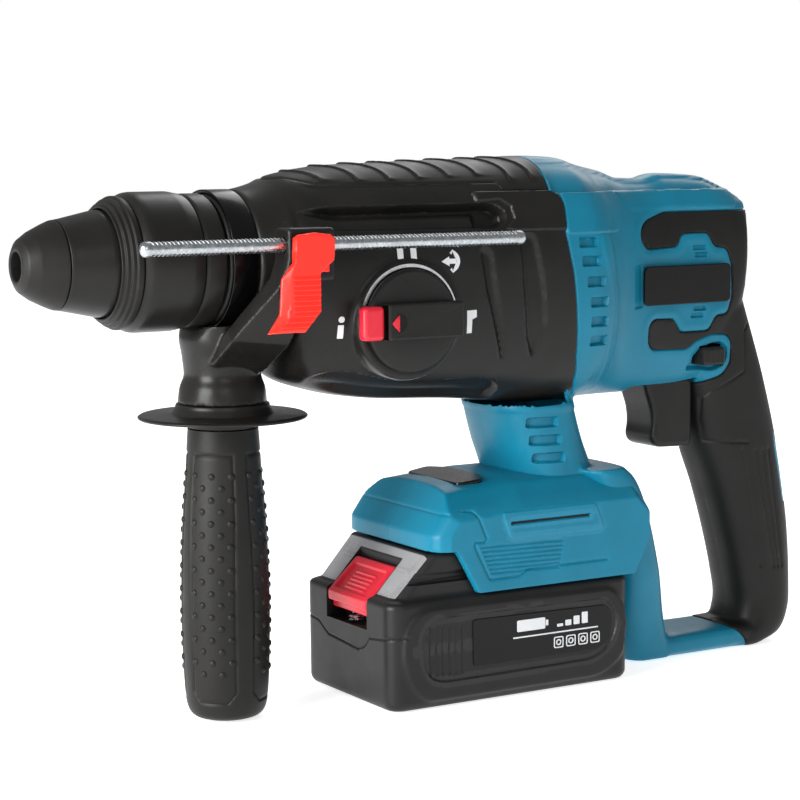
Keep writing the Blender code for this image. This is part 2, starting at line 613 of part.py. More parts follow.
def body_unions():
    """The shapes that join the bridge to make one D-handled body."""
    low = FLOOR_Z + 0.3
    foot = [(258.0, -172.6, low, 16.8, 4.0), (270.0, -172.0, low, 17.0, 4.0),
            (296.0, -172.2, low, 17.0, 4.0), (318.0, -171.0, low, 15.6, 3.4)]
    sole = box((261.0, -13.6, FLOOR_Z), (314.0, 13.6, -176.0))
    return [cutter("neck", loft_z(NECK_SECTIONS)), cutter("base", base_shape()),
            cutter("post", loft_z(POST_SECTIONS)), cutter("foot", loft_x(foot, count=20)),
            cutter("grip", grip_shape(0.0, FLOOR_Z + 0.5, 8.0)), cutter("sole", sole)]


def cover_room():
    """The band of the grip that the rubber cover fills."""
    room = cutter("cover_room", grip_shape(3.0, COVER_END_Z, COVER_TOP_Z))
    boolean(room, cutter("cover_core", grip_shape(-2.6, COVER_END_Z - 6.0, COVER_TOP_Z + 6.0)))
    return room


def make_body():
    """Two clamshell halves, split on the tool's mid-plane."""
    unions, cuts = body_unions(), body_cutters()
    cuts.append(cover_room())
    for name, low, high in (("body_left", -0.15, 60.0), ("body_right", -60.0, 0.15)):
        half = place(name, loft_x(BODY_SECTIONS), "blue_plastic")
        for shape in unions:
            boolean(half, shape, "UNION")
        boolean(half, cutter(name + "_other_side", box((80.0, low, -190.0), (350.0, high, 60.0))))
        for shape in cuts:
            boolean(half, shape)


def make_grip_cover():
    cover = place("grip_cover", grip_shape(0.0, COVER_END_Z + GAP, COVER_TOP_Z - GAP), "black_rubber")
    boolean(cover, cutter("cover_bore", grip_shape(-2.3, COVER_END_Z - 6.0, COVER_TOP_Z + 6.0)))


def make_body_fittings():
    for i, (x, z) in enumerate(SCREW_PLACES):
        profile = [(-14.6, 0.0), (-14.6, 1.8), (12.0, 1.8), (12.0, 3.8), (14.6, 3.4), (14.6, 0.0)]
        screw = turned(profile, (x, 0.0, z), "Y", 12)
        place(f"housing_screw_{i + 1}", screw, "zinc_steel", (x, 0.0, z))
    plate = prism([[(241.6, -8.0), (290.6, -8.0), (292.6, -10.6), (292.6, -22.6), (290.6, -25.2),
                    (243.6, -25.2), (241.6, -22.6)]], 0.0, 1.1)
    bmesh.ops.rotate(plate, verts=plate.verts, cent=(241.6, 0, 0), matrix=Matrix.Rotation(0.078, 3, "Z"))
    bmesh.ops.translate(plate, verts=plate.verts, vec=(0.0, -26.2, 0.0))
    place("name_plate", plate, "gloss_black")
    panel = [(149.6, -20.4), (161.6, -22.0), (165.6, -12.0), (165.6, 12.0), (161.6, 22.0), (149.6, 20.4)]
    display = prism([panel], BASE_TOP_Z + GAP, BASE_TOP_Z + 1.1, "Z")
    place("display_panel", display, "gloss_black")
    place("control_board", box((150.0, -23.0, -108.0), (204.0, 23.0, -105.0)), "green_board")
    block = place("terminal_block", box((197.0, -19.0, -119.2), (219.0, 19.0, -110.4)), "black_plastic")
    for i in range(4):
        y = -13.5 + 9.0 * i
        boolean(block, cutter(f"contact_{i}", box((196.0, y - 1.2, -120.2), (214.0, y + 1.2, -114.4))))
    place("switch_body", box((291.6, -10.0, -83.4), (311.4, 10.0, -48.6)), "black_plastic")


def make_trigger():
    home = (265.0, 0.0, -75.0)
    pull = group("trigger", home)
    outline = [(252.6, -58.0), (254.6, -65.0), (257.4, -72.0), (258.0, -79.0), (257.0, -84.4),
               (258.2, -87.4), (261.4, -89.0), (279.4, -89.6), (279.4, -58.0)]
    place("trigger", prism([outline], -10.8, 10.8), "black_plastic", home, pull)
    place("trigger_spring", coil(280.4, 290.7, 3.4, 0.6, 3, (0.0, 0.0, -70.0)), "spring_steel", home)
    side = (285.0, 0.0, -49.0)
    lever = group("direction_lever", side)
    shape = box((278.8, -23.4, -53.2), (291.2, 23.4, -44.8))
    place("direction_lever", shape, "black_plastic", side, lever)


# ---------------------------------------------------------------- mode dial

def make_dial():
    axis = (DIAL_X, 0.0, DIAL_Z)
    turn = group("mode_dial", axis)
    face = DIAL_SEAT_Y - GAP
    profile = [(-29.0, 0.0), (-29.0, 5.6), (face, 5.6), (face, DIAL_R), (face - 2.0, DIAL_R),
               (face - 3.0, DIAL_R - 1.0), (face - 3.0, 0.0)]
    dial = place("mode_dial", turned(profile, axis, "Y", 36), "black_plastic", axis, turn)
    bar = box((DIAL_X - 15.0, -48.2, DIAL_Z - 7.7), (DIAL_X + BAR_TAIL, face - 2.4, DIAL_Z + 7.7))
    boolean(dial, cutter("dial_bar", bar), "UNION")
    pocket = box((DIAL_X - 16.0, -47.0, DIAL_Z - 6.9), (DIAL_X - 8.2, -42.0, DIAL_Z + 6.9))
    boolean(dial, cutter("lock_pocket", pocket))
    knob = (DIAL_X - 20.0, -44.0, DIAL_Z)
    press = group("dial_lock_button", knob)
    shape = box((DIAL_X - BAR_REACH, -46.7, DIAL_Z - 6.6), (DIAL_X - 11.7, -42.3, DIAL_Z + 6.6))
    place("dial_lock_button", shape, "red_plastic", knob, press)


# ---------------------------------------------------------------- side handle

def make_side_handle():
    swing = group("side_handle", (HANDLE_X, 0.0, 0.0))
    pivot = (HANDLE_X, 0.0, 0.0)
    place("clamp_band", tube(45.4, 56.0, 27.4, 26.1, segments=28), "gloss_black", pivot, swing)
    neck = [(-25.0, 39.0, 56.4, 17.0, 2.4), (-31.0, 36.8, 69.6, 16.8, 2.3), (-38.0, 37.6, 68.6, 15.6, 2.2),
            (-45.0, 38.2, 68.0, 15.0, 2.2), (-50.0, 36.6, 69.4, 16.8, 2.2), (-56.0, 35.4, 70.4, 18.0, 2.0)]
    bracket = place("handle_bracket", loft_z(neck, count=24), "black_plastic", pivot, swing)
    arm = [[(42.0, -6.0, -40.0), (64.0, -6.0, -44.0), (64.0, -14.0, -44.0), (42.0, -14.0, -40.0)],
           [(46.0, -19.0, -26.0), (67.0, -22.0, -32.0), (67.0, -31.0, -32.0), (44.0, -27.0, -30.0)],
           [(55.0, -36.5, -6.0), (69.0, -36.5, -8.0), (69.0, -44.0, -10.0), (55.0, -44.0, -10.0)],
           [(57.6, -36.5, 2.0), (68.0, -36.5, 2.0), (68.0, BLOCK_FACE_Y, 2.0), (57.6, BLOCK_FACE_Y, 2.0)]]
    boolean(bracket, cutter("bracket_arm", loft(arm)), "UNION")
    block = cutter("rod_block", box((57.6, BLOCK_FACE_Y, -7.0), (83.2, -36.4, 13.4)))
    boolean(bracket, block, "UNION")
    boolean(bracket, cutter("button_window", box((62.0, -50.0, -3.6), (77.4, -30.0, 10.8))))
    boolean(bracket, cutter("rod_hole", rod(40.0, 100.0, ROD_R + GAP, (0, ROD_Y, ROD_Z), "X", 16)))
    boolean(bracket, cutter("band_room", rod(30.0, 57.2, 27.8, (0, 0, 0), "X", 40)))
    boolean(bracket, cutter("housing_clear", loft_x(HOUSING_SECTIONS[:6], 1.6)))
    boolean(bracket, cutter("bolt_way", rod(-70.0, -26.0, 4.4, (HANDLE_X, 0, 0), "Z", 16)))
    make_depth_stop(pivot, swing)
    make_grip(swing)


def make_grip(swing):
    pivot = (HANDLE_X, 0.0, -60.0)
    twist = group("side_grip", pivot)
    twist.parent = swing
    twist.location = world(pivot) - swing.location
    centre = (HANDLE_X, 0.0, 0.0)
    guard = [(-56.4, 4.6), (-56.4, 18.4), (-57.8, 18.8), (-60.4, 20.4), (-60.8, 32.6), (-61.6, 33.7),
             (-62.4, 33.2), (-62.6, 14.4), (-66.0, 13.8), (-66.0, 4.6)]
    add_to(twist, "handle_guard", turned(guard, centre, "Z", 32), "black_plastic", pivot)
    bolt = [(-32.0, 0.0), (-32.0, 4.0), (-140.0, 4.0), (-140.0, 0.0)]
    add_to(twist, "handle_bolt", turned(bolt, centre, "Z", 16), "zinc_steel", pivot)
    bottom = GRIP_BOTTOM_Z
    grip = [(-66.4, 4.4), (-66.4, 14.0), (-72.0, 14.4), (-84.0, 15.1), (-98.0, 16.2), (-114.0, 17.1),
            (-138.0, 17.6), (-160.0, 17.2), (-174.0, 16.4), (bottom + 3.6, 15.4), (bottom + 1.0, 13.6),
            (bottom, 11.0), (bottom, 0.0), (-141.0, 0.0), (-141.0, 4.4)]
    add_to(twist, "handle_grip", turned(grip, centre, "Z", 24), "black_rubber", pivot)


def add_to(parent, name, bm, slot, pivot):
    """Places a piece whose parent is itself on another pivot."""
    made = place(name, bm, slot, pivot)
    made.parent = parent
    made.location = (0.0, 0.0, 0.0)


def make_depth_stop(pivot, swing):
    rod_at = (ROD_FRONT_X, ROD_Y, ROD_Z)
    bar = rod(ROD_FRONT_X, ROD_FRONT_X + ROD_LENGTH, ROD_R, (0, ROD_Y, ROD_Z), "X", 12, 0.6)
    place("depth_rod", bar, "zinc_steel", rod_at, swing)
    outline = [(60.0, 10.4), (76.6, 9.9), (76.6, 1.6), (70.8, -4.2), (70.8, -17.0), (63.8, -26.6),
               (46.8, -26.0), (53.8, -17.0), (53.8, -5.0), (60.0, 1.8)]
    inner_y = BLOCK_FACE_Y - BUTTON_TRAVEL - GAP
    plate = prism([outline], inner_y - 3.6, inner_y)
    button = place("depth_button", plate, "red_plastic", (66.0, inner_y, 0.0), swing)
    stem = box((62.6, inner_y - 1.0, -3.2), (76.2, -39.4, 3.4))
    boolean(button, cutter("button_stem", stem), "UNION")


# ---------------------------------------------------------------- battery

def battery_plan(half, front, rear, corner):
    """Plan outline with cut corners, as (x, y)."""
    near = [(front, -half + corner), (front + corner, -half), (rear - corner, -half),
            (rear, -half + corner)]
    return near + [(x, -y) for x, y in reversed(near)]


def battery_layer(z, half, front, rear, corner):
    return [(x, y, z) for x, y in battery_plan(half, front, rear, corner)]


def cell_outline():
    """Side outline of ten round cells in two rows, as one wrapped block."""
    pitch, radius, first = 18.6, 9.3, 131.0
    low, high = FLOOR_Z + 12.2, FLOOR_Z + 30.7
    below = [(first + pitch * column + radius * math.cos(turn), low + radius * math.sin(turn))
             for column in range(5) for turn in (math.pi * k / 4 for k in (5, 6, 7))]
    above = [(first + pitch * column + radius * math.cos(turn), high + radius * math.sin(turn))
             for column in reversed(range(5)) for turn in (math.pi * k / 4 for k in (1, 2, 3))]
    return below + above


def make_battery():
    home = STAND
    slide = group("battery", home)
    half = BATTERY_HALF_WIDTH
    split = BATTERY_SPLIT_Z
    rear = BATTERY_REAR_X
    lower = loft([battery_layer(FLOOR_Z, half - 2.4, BATTERY_FRONT_X + 2.6, rear - 2.4, 5.0),
                  battery_layer(FLOOR_Z + 3.0, half, BATTERY_FRONT_X + 0.3, rear, 6.0),
                  battery_layer(split, half, BATTERY_FRONT_X, rear, 6.0)])
    case = place("battery_lower_case", lower, "battery_plastic", home, slide)
    for side in (-1, 1):
        y0, y1 = sorted((side * (half - 1.0), side * PANEL_Y))
        panel = [(130.0, FLOOR_Z + 3.6), (216.0, FLOOR_Z + 3.6), (225.4, FLOOR_Z + 12.0), (225.4, split),
                 (124.0, split), (124.0, FLOOR_Z + 12.0)]
        boolean(case, cutter(f"side_panel_{side}", prism([panel], y0, y1)), "UNION")
    boolean(case, cutter("cell_bay", box((112.0, -33.2, FLOOR_Z + 2.4), (rear - 3.4, 33.2, split + 1.0))))
    boolean(case, cutter("label_low", box((144.0, -39.0, -166.0), (214.6, -36.6, split + 1.0))))
    make_battery_top(home, slide)
    place("cell_pack", prism([cell_outline()], -32.4, 32.4), "cell_wrap", home, slide)
    label = box((144.4, -37.3, -165.6), (214.2, -36.7, -148.0))
    place("battery_label", label, "gloss_black", home, slide)


def make_battery_top(home, slide):
    half, rear, front = BATTERY_HALF_WIDTH, BATTERY_REAR_X, BATTERY_FRONT_X
    split, shoulder = BATTERY_SPLIT_Z + GAP, BATTERY_SHOULDER_Z
    top = loft([battery_layer(split, half, front, rear, 6.0),
                battery_layer(shoulder, half, front, rear, 6.0),
                battery_layer(shoulder + 1.2, half - 1.0, front + 0.9, rear - 0.6, 6.0),
                battery_layer(shoulder + 2.1, 33.0, front + 4.0, rear - 0.8, 6.0),
                battery_layer(BATTERY_TOP_Z, 33.0, 129.0, rear - 0.8, 4.0)])
    case = place("battery_upper_case", top, "battery_plastic", home, slide)
    for side in (-1, 1):
        y0, y1 = sorted((side * (half - 1.0), side * PANEL_Y))
        panel = [(124.0, split), (225.4, split), (225.4, -147.0), (217.0, shoulder + 1.0),
                 (132.0, shoulder + 1.0), (124.0, -147.0)]
        boolean(case, cutter(f"top_panel_{side}", prism([panel], y0, y1)), "UNION")
        y0, y1 = sorted((side * 30.6, side * 34.0))
        rail = box((100.0, y0, RAIL_Z - 2.4), (230.0, y1, RAIL_Z + 2.4))
        boolean(case, cutter(f"rail_groove_{side}", rail))
    bay = box((120.8, -33.2, split - 1.0), (rear - 3.4, 33.2, shoulder - 2.2))
    boolean(case, cutter("top_bay", bay))
    boolean(case, cutter("label_high", box((144.0, -39.0, split - 1.0), (214.6, -36.6, -147.6))))
    boolean(case, cutter("button_notch", box((102.0, -16.6, -151.4), (118.6, 16.6, -118.0))))
    boolean(case, cutter("button_shelf", box((118.0, -16.6, -139.4), (125.0, 16.6, -118.0))))
    press = group("battery_button", (112.0, 0.0, -143.0))
    press.parent = slide
    press.location = world((112.0, 0.0, -143.0)) - slide.location
    outline = [(108.4, -147.0), (108.4, -139.8), (122.4, -126.6), (124.6, -126.6), (124.6, -134.8),
               (118.0, -134.8), (118.0, -147.0)]
    shape = prism([outline], -16.2, 16.2)
    add_to(press, "battery_button", shape, "crimson_plastic", (112.0, 0.0, -143.0))
    spring = coil(-150.6, -147.8, 3.0, 0.5, 2, (113.2, 0.0, 0.0), "Z")
    place("battery_button_spring", spring, "spring_steel", home, slide)


def main():
    clear_scene()
    spindle = group("spindle", (0.0, 0.0, 0.0))
    make_chuck(spindle)
    make_spindle(spindle)
    make_release_sleeve(spindle)
    make_hammer(spindle)
    make_piston()
    make_wobble()
    make_gear_train()
    make_motor()
    make_gear_housing()
    make_top_pad()
    make_bearing_plate()
    make_body()
    make_grip_cover()
    make_body_fittings()
    make_trigger()
    make_dial()
    make_side_handle()
    make_battery()


main()
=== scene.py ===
"""Visual model of a cordless rotary hammer with a side handle, a depth rod and a battery.

Lengths are in millimetres in the barrel frame: X runs from the chuck to the handle, Z is up, and
the barrel's axis is y = 0, z = 0. world() turns such points into the CAD frame's metres. Large
mouldings are fused from lofts, remeshed and given their relief as functions of a point's place.
"""
import json
import math

import bpy
import numpy as np
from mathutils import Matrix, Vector

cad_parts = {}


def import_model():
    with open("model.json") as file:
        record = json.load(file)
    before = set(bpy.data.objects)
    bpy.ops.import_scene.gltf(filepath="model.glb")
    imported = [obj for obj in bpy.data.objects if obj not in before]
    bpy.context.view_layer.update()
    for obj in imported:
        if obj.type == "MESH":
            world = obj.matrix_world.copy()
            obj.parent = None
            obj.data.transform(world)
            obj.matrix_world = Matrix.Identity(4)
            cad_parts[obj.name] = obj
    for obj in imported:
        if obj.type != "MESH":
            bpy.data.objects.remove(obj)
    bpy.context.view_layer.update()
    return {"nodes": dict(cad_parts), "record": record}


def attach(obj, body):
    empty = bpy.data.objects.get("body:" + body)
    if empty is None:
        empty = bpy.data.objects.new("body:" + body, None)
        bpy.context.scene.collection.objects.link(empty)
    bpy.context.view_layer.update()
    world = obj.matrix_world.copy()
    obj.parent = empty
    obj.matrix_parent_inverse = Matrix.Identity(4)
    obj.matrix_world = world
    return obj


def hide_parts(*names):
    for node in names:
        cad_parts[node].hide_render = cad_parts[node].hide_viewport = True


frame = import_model()

MM = 0.001
STAND = np.array((167.6, 0.0, -182.5))      # where the CAD frame's origin lies in the barrel frame
FLOOR_Z, REAR_X = -182.5, 337.2              # the lowest and rearmost places of the CAD model
SHARP = 38.0                                # degrees: edges sharper than this stay crisp

# ---------------------------------------------------------------- main sizes, in millimetres

# x, top, bottom, half width, superellipse power
HOUSING_SECTIONS = [
    (57.0, 27.2, -27.8, 27.8, 2.0), (61.5, 28.0, -28.6, 28.8, 2.0), (70.8, 30.6, -31.0, 31.2, 2.1),
    (72.0, 31.2, -43.0, 31.8, 2.2), (76.0, 32.6, -48.6, 33.2, 2.3), (88.0, 34.8, -53.0, 35.2, 2.4),
    (100.0, 36.2, -56.0, 36.4, 2.5), (120.0, 36.9, -58.6, 37.0, 2.6), (150.0, 37.8, -60.4, 37.3, 2.6),
    (175.0, 38.4, -63.0, 37.5, 2.6)]
BODY_SECTIONS = [
    (193.3, 39.2, -64.8, 38.0, 2.6), (206.0, 38.6, -64.6, 38.0, 2.6), (214.0, 36.4, -64.2, 36.8, 2.5),
    (222.0, 34.6, -64.0, 32.0, 2.4), (231.0, 32.8, -64.0, 27.0, 2.4), (242.0, 29.4, -64.0, 24.0, 2.5),
    (254.0, 29.0, -64.0, 22.2, 2.6), (264.0, 31.0, -64.0, 21.2, 2.7), (284.0, 30.0, -62.0, 20.2, 2.7),
    (296.0, 26.2, -50.0, 19.4, 2.6), (303.0, 23.0, -34.0, 18.0, 2.4), (306.5, 21.0, 4.0, 12.0, 2.2)]
# z, front x, rear x, half width, power
GRIP_SECTIONS = [
    (8.0, 268.0, 302.6, 18.6, 2.8), (-14.0, 270.0, 303.2, 18.6, 2.8), (-26.0, 272.0, 307.4, 18.6, 2.8),
    (-44.0, 276.0, 314.2, 18.4, 2.8), (-62.0, 280.0, 320.8, 18.2, 2.7), (-90.6, 285.6, 329.2, 17.8, 2.6),
    (-110.0, 293.0, 333.2, 17.6, 2.5), (-132.0, 300.2, 336.2, 17.4, 2.5), (-150.0, 305.0, 337.2, 17.2, 2.5),
    (-163.0, 307.4, 337.2, 17.2, 2.5), (-171.4, 305.6, 335.4, 17.2, 2.5), (-177.6, 299.0, 331.6, 17.0, 2.6),
    (-182.0, 296.0, 320.0, 15.6, 2.6)]
POST_SECTIONS = [
    (-92.6, 206.0, 231.6, 33.0, 3.2), (-97.4, 209.0, 237.2, 33.4, 3.2), (-107.0, 214.0, 242.6, 33.0, 3.2),
    (-136.4, 228.4, 252.6, 29.0, 3.2), (-166.0, 236.6, 262.8, 19.6, 3.2), (-182.0, 243.0, 267.8, 16.8, 3.4)]
NECK_SECTIONS = [
    (-52.0, 171.6, 209.0, 24.6, 2.8), (-66.0, 173.6, 212.6, 25.0, 2.8), (-80.0, 177.2, 216.8, 25.0, 2.8),
    (-93.0, 182.0, 222.0, 25.2, 2.8), (-98.0, 183.5, 223.5, 25.4, 2.8)]
FOOT_SECTIONS = [
    (258.0, -172.6, -182.2, 16.8, 4.0), (270.0, -172.0, -182.2, 17.0, 4.0),
    (296.0, -172.2, -182.2, 17.0, 4.0), (318.0, -171.0, -182.2, 15.6, 3.4)]

HANDLE_X = 53.0                              # axis of the side handle
DIAL_X, DIAL_Z = 116.5, -24.5
DISC_R, ARC_R, SEAT_R = 20.5, 22.3, 23.9     # the dial's disc, the silver arc round it, and its seat
ROD_Y, ROD_Z, ROD_R = -44.0, 7.0, 2.9
ROD_FRONT_X, ROD_LENGTH = -1.6, 168.5
BATTERY_FRONT_X, BATTERY_REAR_X, BATTERY_HALF_WIDTH = 108.2, 227.0, 36.2
BATTERY_SPLIT_Z, BATTERY_SHOULDER_Z, BATTERY_TOP_Z = -158.0, -139.5, -120.1
PANEL_Y = 37.5


def world(points):
    """Barrel-frame millimetres to the CAD frame's metres."""
    return (np.asarray(points, float).reshape(-1, 3) - STAND) * MM


# ---------------------------------------------------------------- number helpers

def smooth(t):
    """0 below 0, 1 above 1, and an S-curve between."""
    t = np.clip(t, 0.0, 1.0)
    return t * t * (3.0 - 2.0 * t)


def step(distance, width):
    """An S-curve from 0 to 1, centred on distance = 0."""
    return smooth(distance / width + 0.5)


def groove(distance, half_width):
    """1 on a line, falling to 0 at about twice the half width."""
    return np.exp(-(distance / half_width) ** 2)


def columns(table, at):
    """Every column of a table of rows, interpolated at the given places without overshoot."""
    rows = np.array(table, float)
    keys, at = rows[:, 0], np.asarray(at, float)
    order = np.argsort(keys)
    rows, keys = rows[order], keys[order]
    gap = np.diff(keys)
    place = np.clip(np.searchsorted(keys, at) - 1, 0, len(keys) - 2)
    t = np.clip((at - keys[place]) / gap[place], 0.0, 1.0)
    out = []
    for k in range(1, rows.shape[1]):
        value = rows[:, k]
        slope = np.diff(value) / gap
        tangent = np.zeros(len(value))
        same = slope[:-1] * slope[1:] > 0.0
        mean = 2.0 * slope[:-1] * slope[1:] / np.where(same, slope[:-1] + slope[1:], 1.0)
        tangent[1:-1] = np.where(same, mean, 0.0)
        tangent[0], tangent[-1] = slope[0], slope[-1]
        h = gap[place]
        out.append(value[place] * (1 + 2 * t) * (1 - t) ** 2 + tangent[place] * h * t * (1 - t) ** 2
                   + value[place + 1] * t * t * (3 - 2 * t) + tangent[place + 1] * h * t * t * (t - 1))
    return out


def oval(half_a, half_b, power, count):
    """Points round a superellipse."""
    turn = np.linspace(0.0, math.tau, count, endpoint=False)
    c, s = np.cos(turn), np.sin(turn)
    return (half_a * np.sign(c) * np.abs(c) ** (2.0 / power),
            half_b * np.sign(s) * np.abs(s) ** (2.0 / power))


def corner_arc(before, corner, after, reach):
    """Points of an arc across a corner, which starts at most reach before it."""
    a, b = before - corner, after - corner
    length_a, length_b = np.linalg.norm(a), np.linalg.norm(b)
    reach = min(reach, 0.45 * length_a, 0.45 * length_b)
    start, end = corner + a / length_a * reach, corner + b / length_b * reach
    return [start * (1 - t) ** 2 + 2 * corner * t * (1 - t) + end * t * t for t in np.linspace(0.0, 1.0, 4)]


def rounded(points, reach=1.6):
    """A closed outline with an arc of about the given reach at each corner."""
    loop = np.array(points, float)
    arcs = zip(np.roll(loop, 1, axis=0), loop, np.roll(loop, -1, axis=0))
    return np.array([p for before, corner, after in arcs for p in corner_arc(before, corner, after, reach)])


def soft_box(a0, a1, b0, b1, corner, count=5):
    """A rectangle with arcs for corners, anticlockwise."""
    points = []
    for ca, cb, start in ((a1 - corner, b1 - corner, 0.0), (a0 + corner, b1 - corner, 0.25),
                          (a0 + corner, b0 + corner, 0.5), (a1 - corner, b0 + corner, 0.75)):
        for i in range(count + 1):
            turn = math.tau * (start + 0.25 * i / count)
            points.append((ca + corner * math.cos(turn), cb + corner * math.sin(turn)))
    return points


def line_distance(x, z, points, closed=False):
    """Distance to a line of points."""
    points = np.array(points, float)
    ends = np.roll(points, -1, axis=0) if closed else points[1:]
    best = np.full(x.shape, 1e9)
    for (ax, az), (bx, bz) in zip(points, ends):
        dx, dz = bx - ax, bz - az
        t = np.clip(((x - ax) * dx + (z - az) * dz) / (dx * dx + dz * dz + 1e-12), 0.0, 1.0)
        best = np.minimum(best, (x - ax - t * dx) ** 2 + (z - az - t * dz) ** 2)
    return np.sqrt(best)


def inside_distance(x, z, loop):
    """Signed distance to a closed outline, positive inside."""
    loop = np.array(loop, float)
    low, high = loop.min(0) - 6.0, loop.max(0) + 6.0
    near = (x > low[0]) & (x < high[0]) & (z > low[1]) & (z < high[1])
    out = np.full(x.shape, -6.0)
    px, pz = x[near], z[near]
    inside = np.zeros(px.shape, bool)
    for (ax, az), (bx, bz) in zip(loop, np.roll(loop, -1, axis=0)):
        crosses = (az > pz) != (bz > pz)
        at = ax + (pz - az) * (bx - ax) / (bz - az if bz != az else 1e-12)
        inside ^= crosses & (px < at)
    out[near] = np.where(inside, 1.0, -1.0) * line_distance(px, pz, loop, closed=True)
    return out


# ---------------------------------------------------------------- meshes as arrays

def grid(rings, caps=True):
    """Closed rings of equal length joined into a tube with flat fan ends, its faces turned out."""
    rings = [np.asarray(r, float) for r in rings]
    count = len(rings[0])
    points = np.concatenate(rings)
    faces = []
    index = np.arange(count)
    after = (index + 1) % count
    for k in range(len(rings) - 1):
        a, b = k * count, (k + 1) * count
        faces.append(np.stack([a + index, a + after, b + after], 1))
        faces.append(np.stack([a + index, b + after, b + index], 1))
    if caps:
        middle = np.stack([rings[0].mean(0), rings[-1].mean(0)])
        first, last = len(points), len(points) + 1
        end = (len(rings) - 1) * count
        points = np.concatenate([points, middle])
        faces.append(np.stack([np.full(count, first), after, index], 1))
        faces.append(np.stack([np.full(count, last), end + index, end + after], 1))
    return outward(points, np.concatenate(faces))


def loft_x(table, pitch=1.5, count=96):
    """A loft along X through the rows of a section table."""
    rows = sorted(table)
    at = np.arange(rows[0][0], rows[-1][0] + pitch * 0.5, pitch)
    rings = []
    for x, top, bottom, half, power in zip(at, *columns(rows, at)):
        y, z = oval(half, (top - bottom) / 2.0, power, count)
        rings.append(np.stack([np.full(count, x), y, z + (top + bottom) / 2.0], 1))
    return grid(rings)


def loft_z(table, pitch=1.5, count=72):
    """A loft along Z through the rows of a section table."""
    rows = sorted(table)
    at = np.append(np.arange(rows[0][0], rows[-1][0], pitch), rows[-1][0])
    rings = []
    for z, front, rear, half, power in zip(at, *columns(rows, at)):
        x, y = oval((rear - front) / 2.0, half, power, count)
        rings.append(np.stack([x + (front + rear) / 2.0, y, np.full(count, z)], 1))
    return grid(rings)


def fillet(profile, radius=0.5):
    """A profile of (along, radius) points with small arcs at its corners."""
    points = [np.array(p, float) for p in profile]
    out = [points[0]]
    for before, corner, after in zip(points, points[1:], points[2:]):
        out += corner_arc(before, corner, after, radius)
    return out + [points[-1]]


def spun(profile, axis="X", centre=(0.0, 0.0, 0.0), count=96, radius=0.5):
    """A profile of (along, radius) turned about an axis."""
    turn = np.linspace(0.0, math.tau, count, endpoint=False)
    rings = []
    for along, reach in fillet(profile, radius):
        a, b, c = np.full(count, along), reach * np.cos(turn), reach * np.sin(turn)
        order = {"X": (a, b, c), "Y": (c, a, b), "Z": (b, c, a)}[axis]
        rings.append(np.stack(order, 1) + np.asarray(centre, float))
    return grid(rings, caps=False)


CAP_RIM = 0.08                              # a flat strip round each cap, which keeps its shading flat


def plate(loop, levels, axis="Y"):
    """An outline in the plane across an axis, carried through (level, inset) pairs and capped.

    With axis Y the outline is (x, z); with Z it is (x, y); with X it is (y, z).
    """
    loop = np.array(loop, float)
    area = np.sum(loop[:, 0] * np.roll(loop[:, 1], -1) - np.roll(loop[:, 0], -1) * loop[:, 1])
    if area < 0.0:
        loop = loop[::-1]
    ahead = np.roll(loop, -1, axis=0) - loop
    ahead /= np.linalg.norm(ahead, axis=1)[:, None] + 1e-9
    behind = np.roll(ahead, 1, axis=0)
    bisector = np.stack([-(ahead[:, 1] + behind[:, 1]), ahead[:, 0] + behind[:, 0]], 1)
    bisector /= np.linalg.norm(bisector, axis=1)[:, None] + 1e-9
    facing = np.maximum(np.sum(bisector * np.stack([-ahead[:, 1], ahead[:, 0]], 1), 1), 0.5)
    inward = bisector / facing[:, None]
    rings = []
    (first, first_inset), (last, last_inset) = levels[0], levels[-1]
    for level, inset in [(first, first_inset + CAP_RIM), *levels, (last, last_inset + CAP_RIM)]:
        a, b = (loop + inward * inset).T
        c = np.full(len(a), level)
        rings.append(np.stack({"Y": (a, c, b), "Z": (a, b, c), "X": (c, a, b)}[axis], 1))
    return grid(rings)


def bevelled(low, high, bevel=0.6):
    """Levels for a plate with rounded edges at both ends."""
    steps = [(0.0, 1.0), (0.3, 0.3), (1.0, 0.0)]
    levels = [(low + bevel * a, bevel * b) for a, b in steps]
    return levels + [(high - bevel * a, bevel * b) for a, b in reversed(steps)]


def block(low, high, corner=1.0, bevel=0.6, axis="Y"):
    """A box with rounded corners and bevelled ends."""
    low, high = np.array(low, float), np.array(high, float)
    a, b, c = {"Y": (0, 2, 1), "Z": (0, 1, 2), "X": (1, 2, 0)}[axis]
    loop = soft_box(low[a], high[a], low[b], high[b], corner)
    return plate(loop, bevelled(low[c], high[c], bevel), axis)


def joined(parts):
    """Several meshes as one pair of arrays."""
    points, faces, base = [], [], 0
    for v, f in parts:
        points.append(v)
        faces.append(f + base)
        base += len(v)
    return np.concatenate(points), np.concatenate(faces)


def bare(name, v, f):
    """A plain Blender object from arrays, in millimetres."""
    mesh = bpy.data.meshes.new(name)
    mesh.from_pydata(np.asarray(v).tolist(), [], np.asarray(f).tolist())
    made = bpy.data.objects.new(name, mesh)
    bpy.context.scene.collection.objects.link(made)
    return made


def arrays(made):
    """The evaluated, triangulated mesh of an object, which is then removed."""
    seen = made.evaluated_get(bpy.context.evaluated_depsgraph_get())
    mesh = bpy.data.meshes.new_from_object(seen)
    mesh.calc_loop_triangles()
    v = np.zeros(len(mesh.vertices) * 3)
    f = np.zeros(len(mesh.loop_triangles) * 3, np.int32)
    mesh.vertices.foreach_get("co", v)
    mesh.loop_triangles.foreach_get("vertices", f)
    old = made.data
    bpy.data.objects.remove(made)
    bpy.data.meshes.remove(old)
    bpy.data.meshes.remove(mesh)
    return v.reshape(-1, 3), f.reshape(-1, 3)


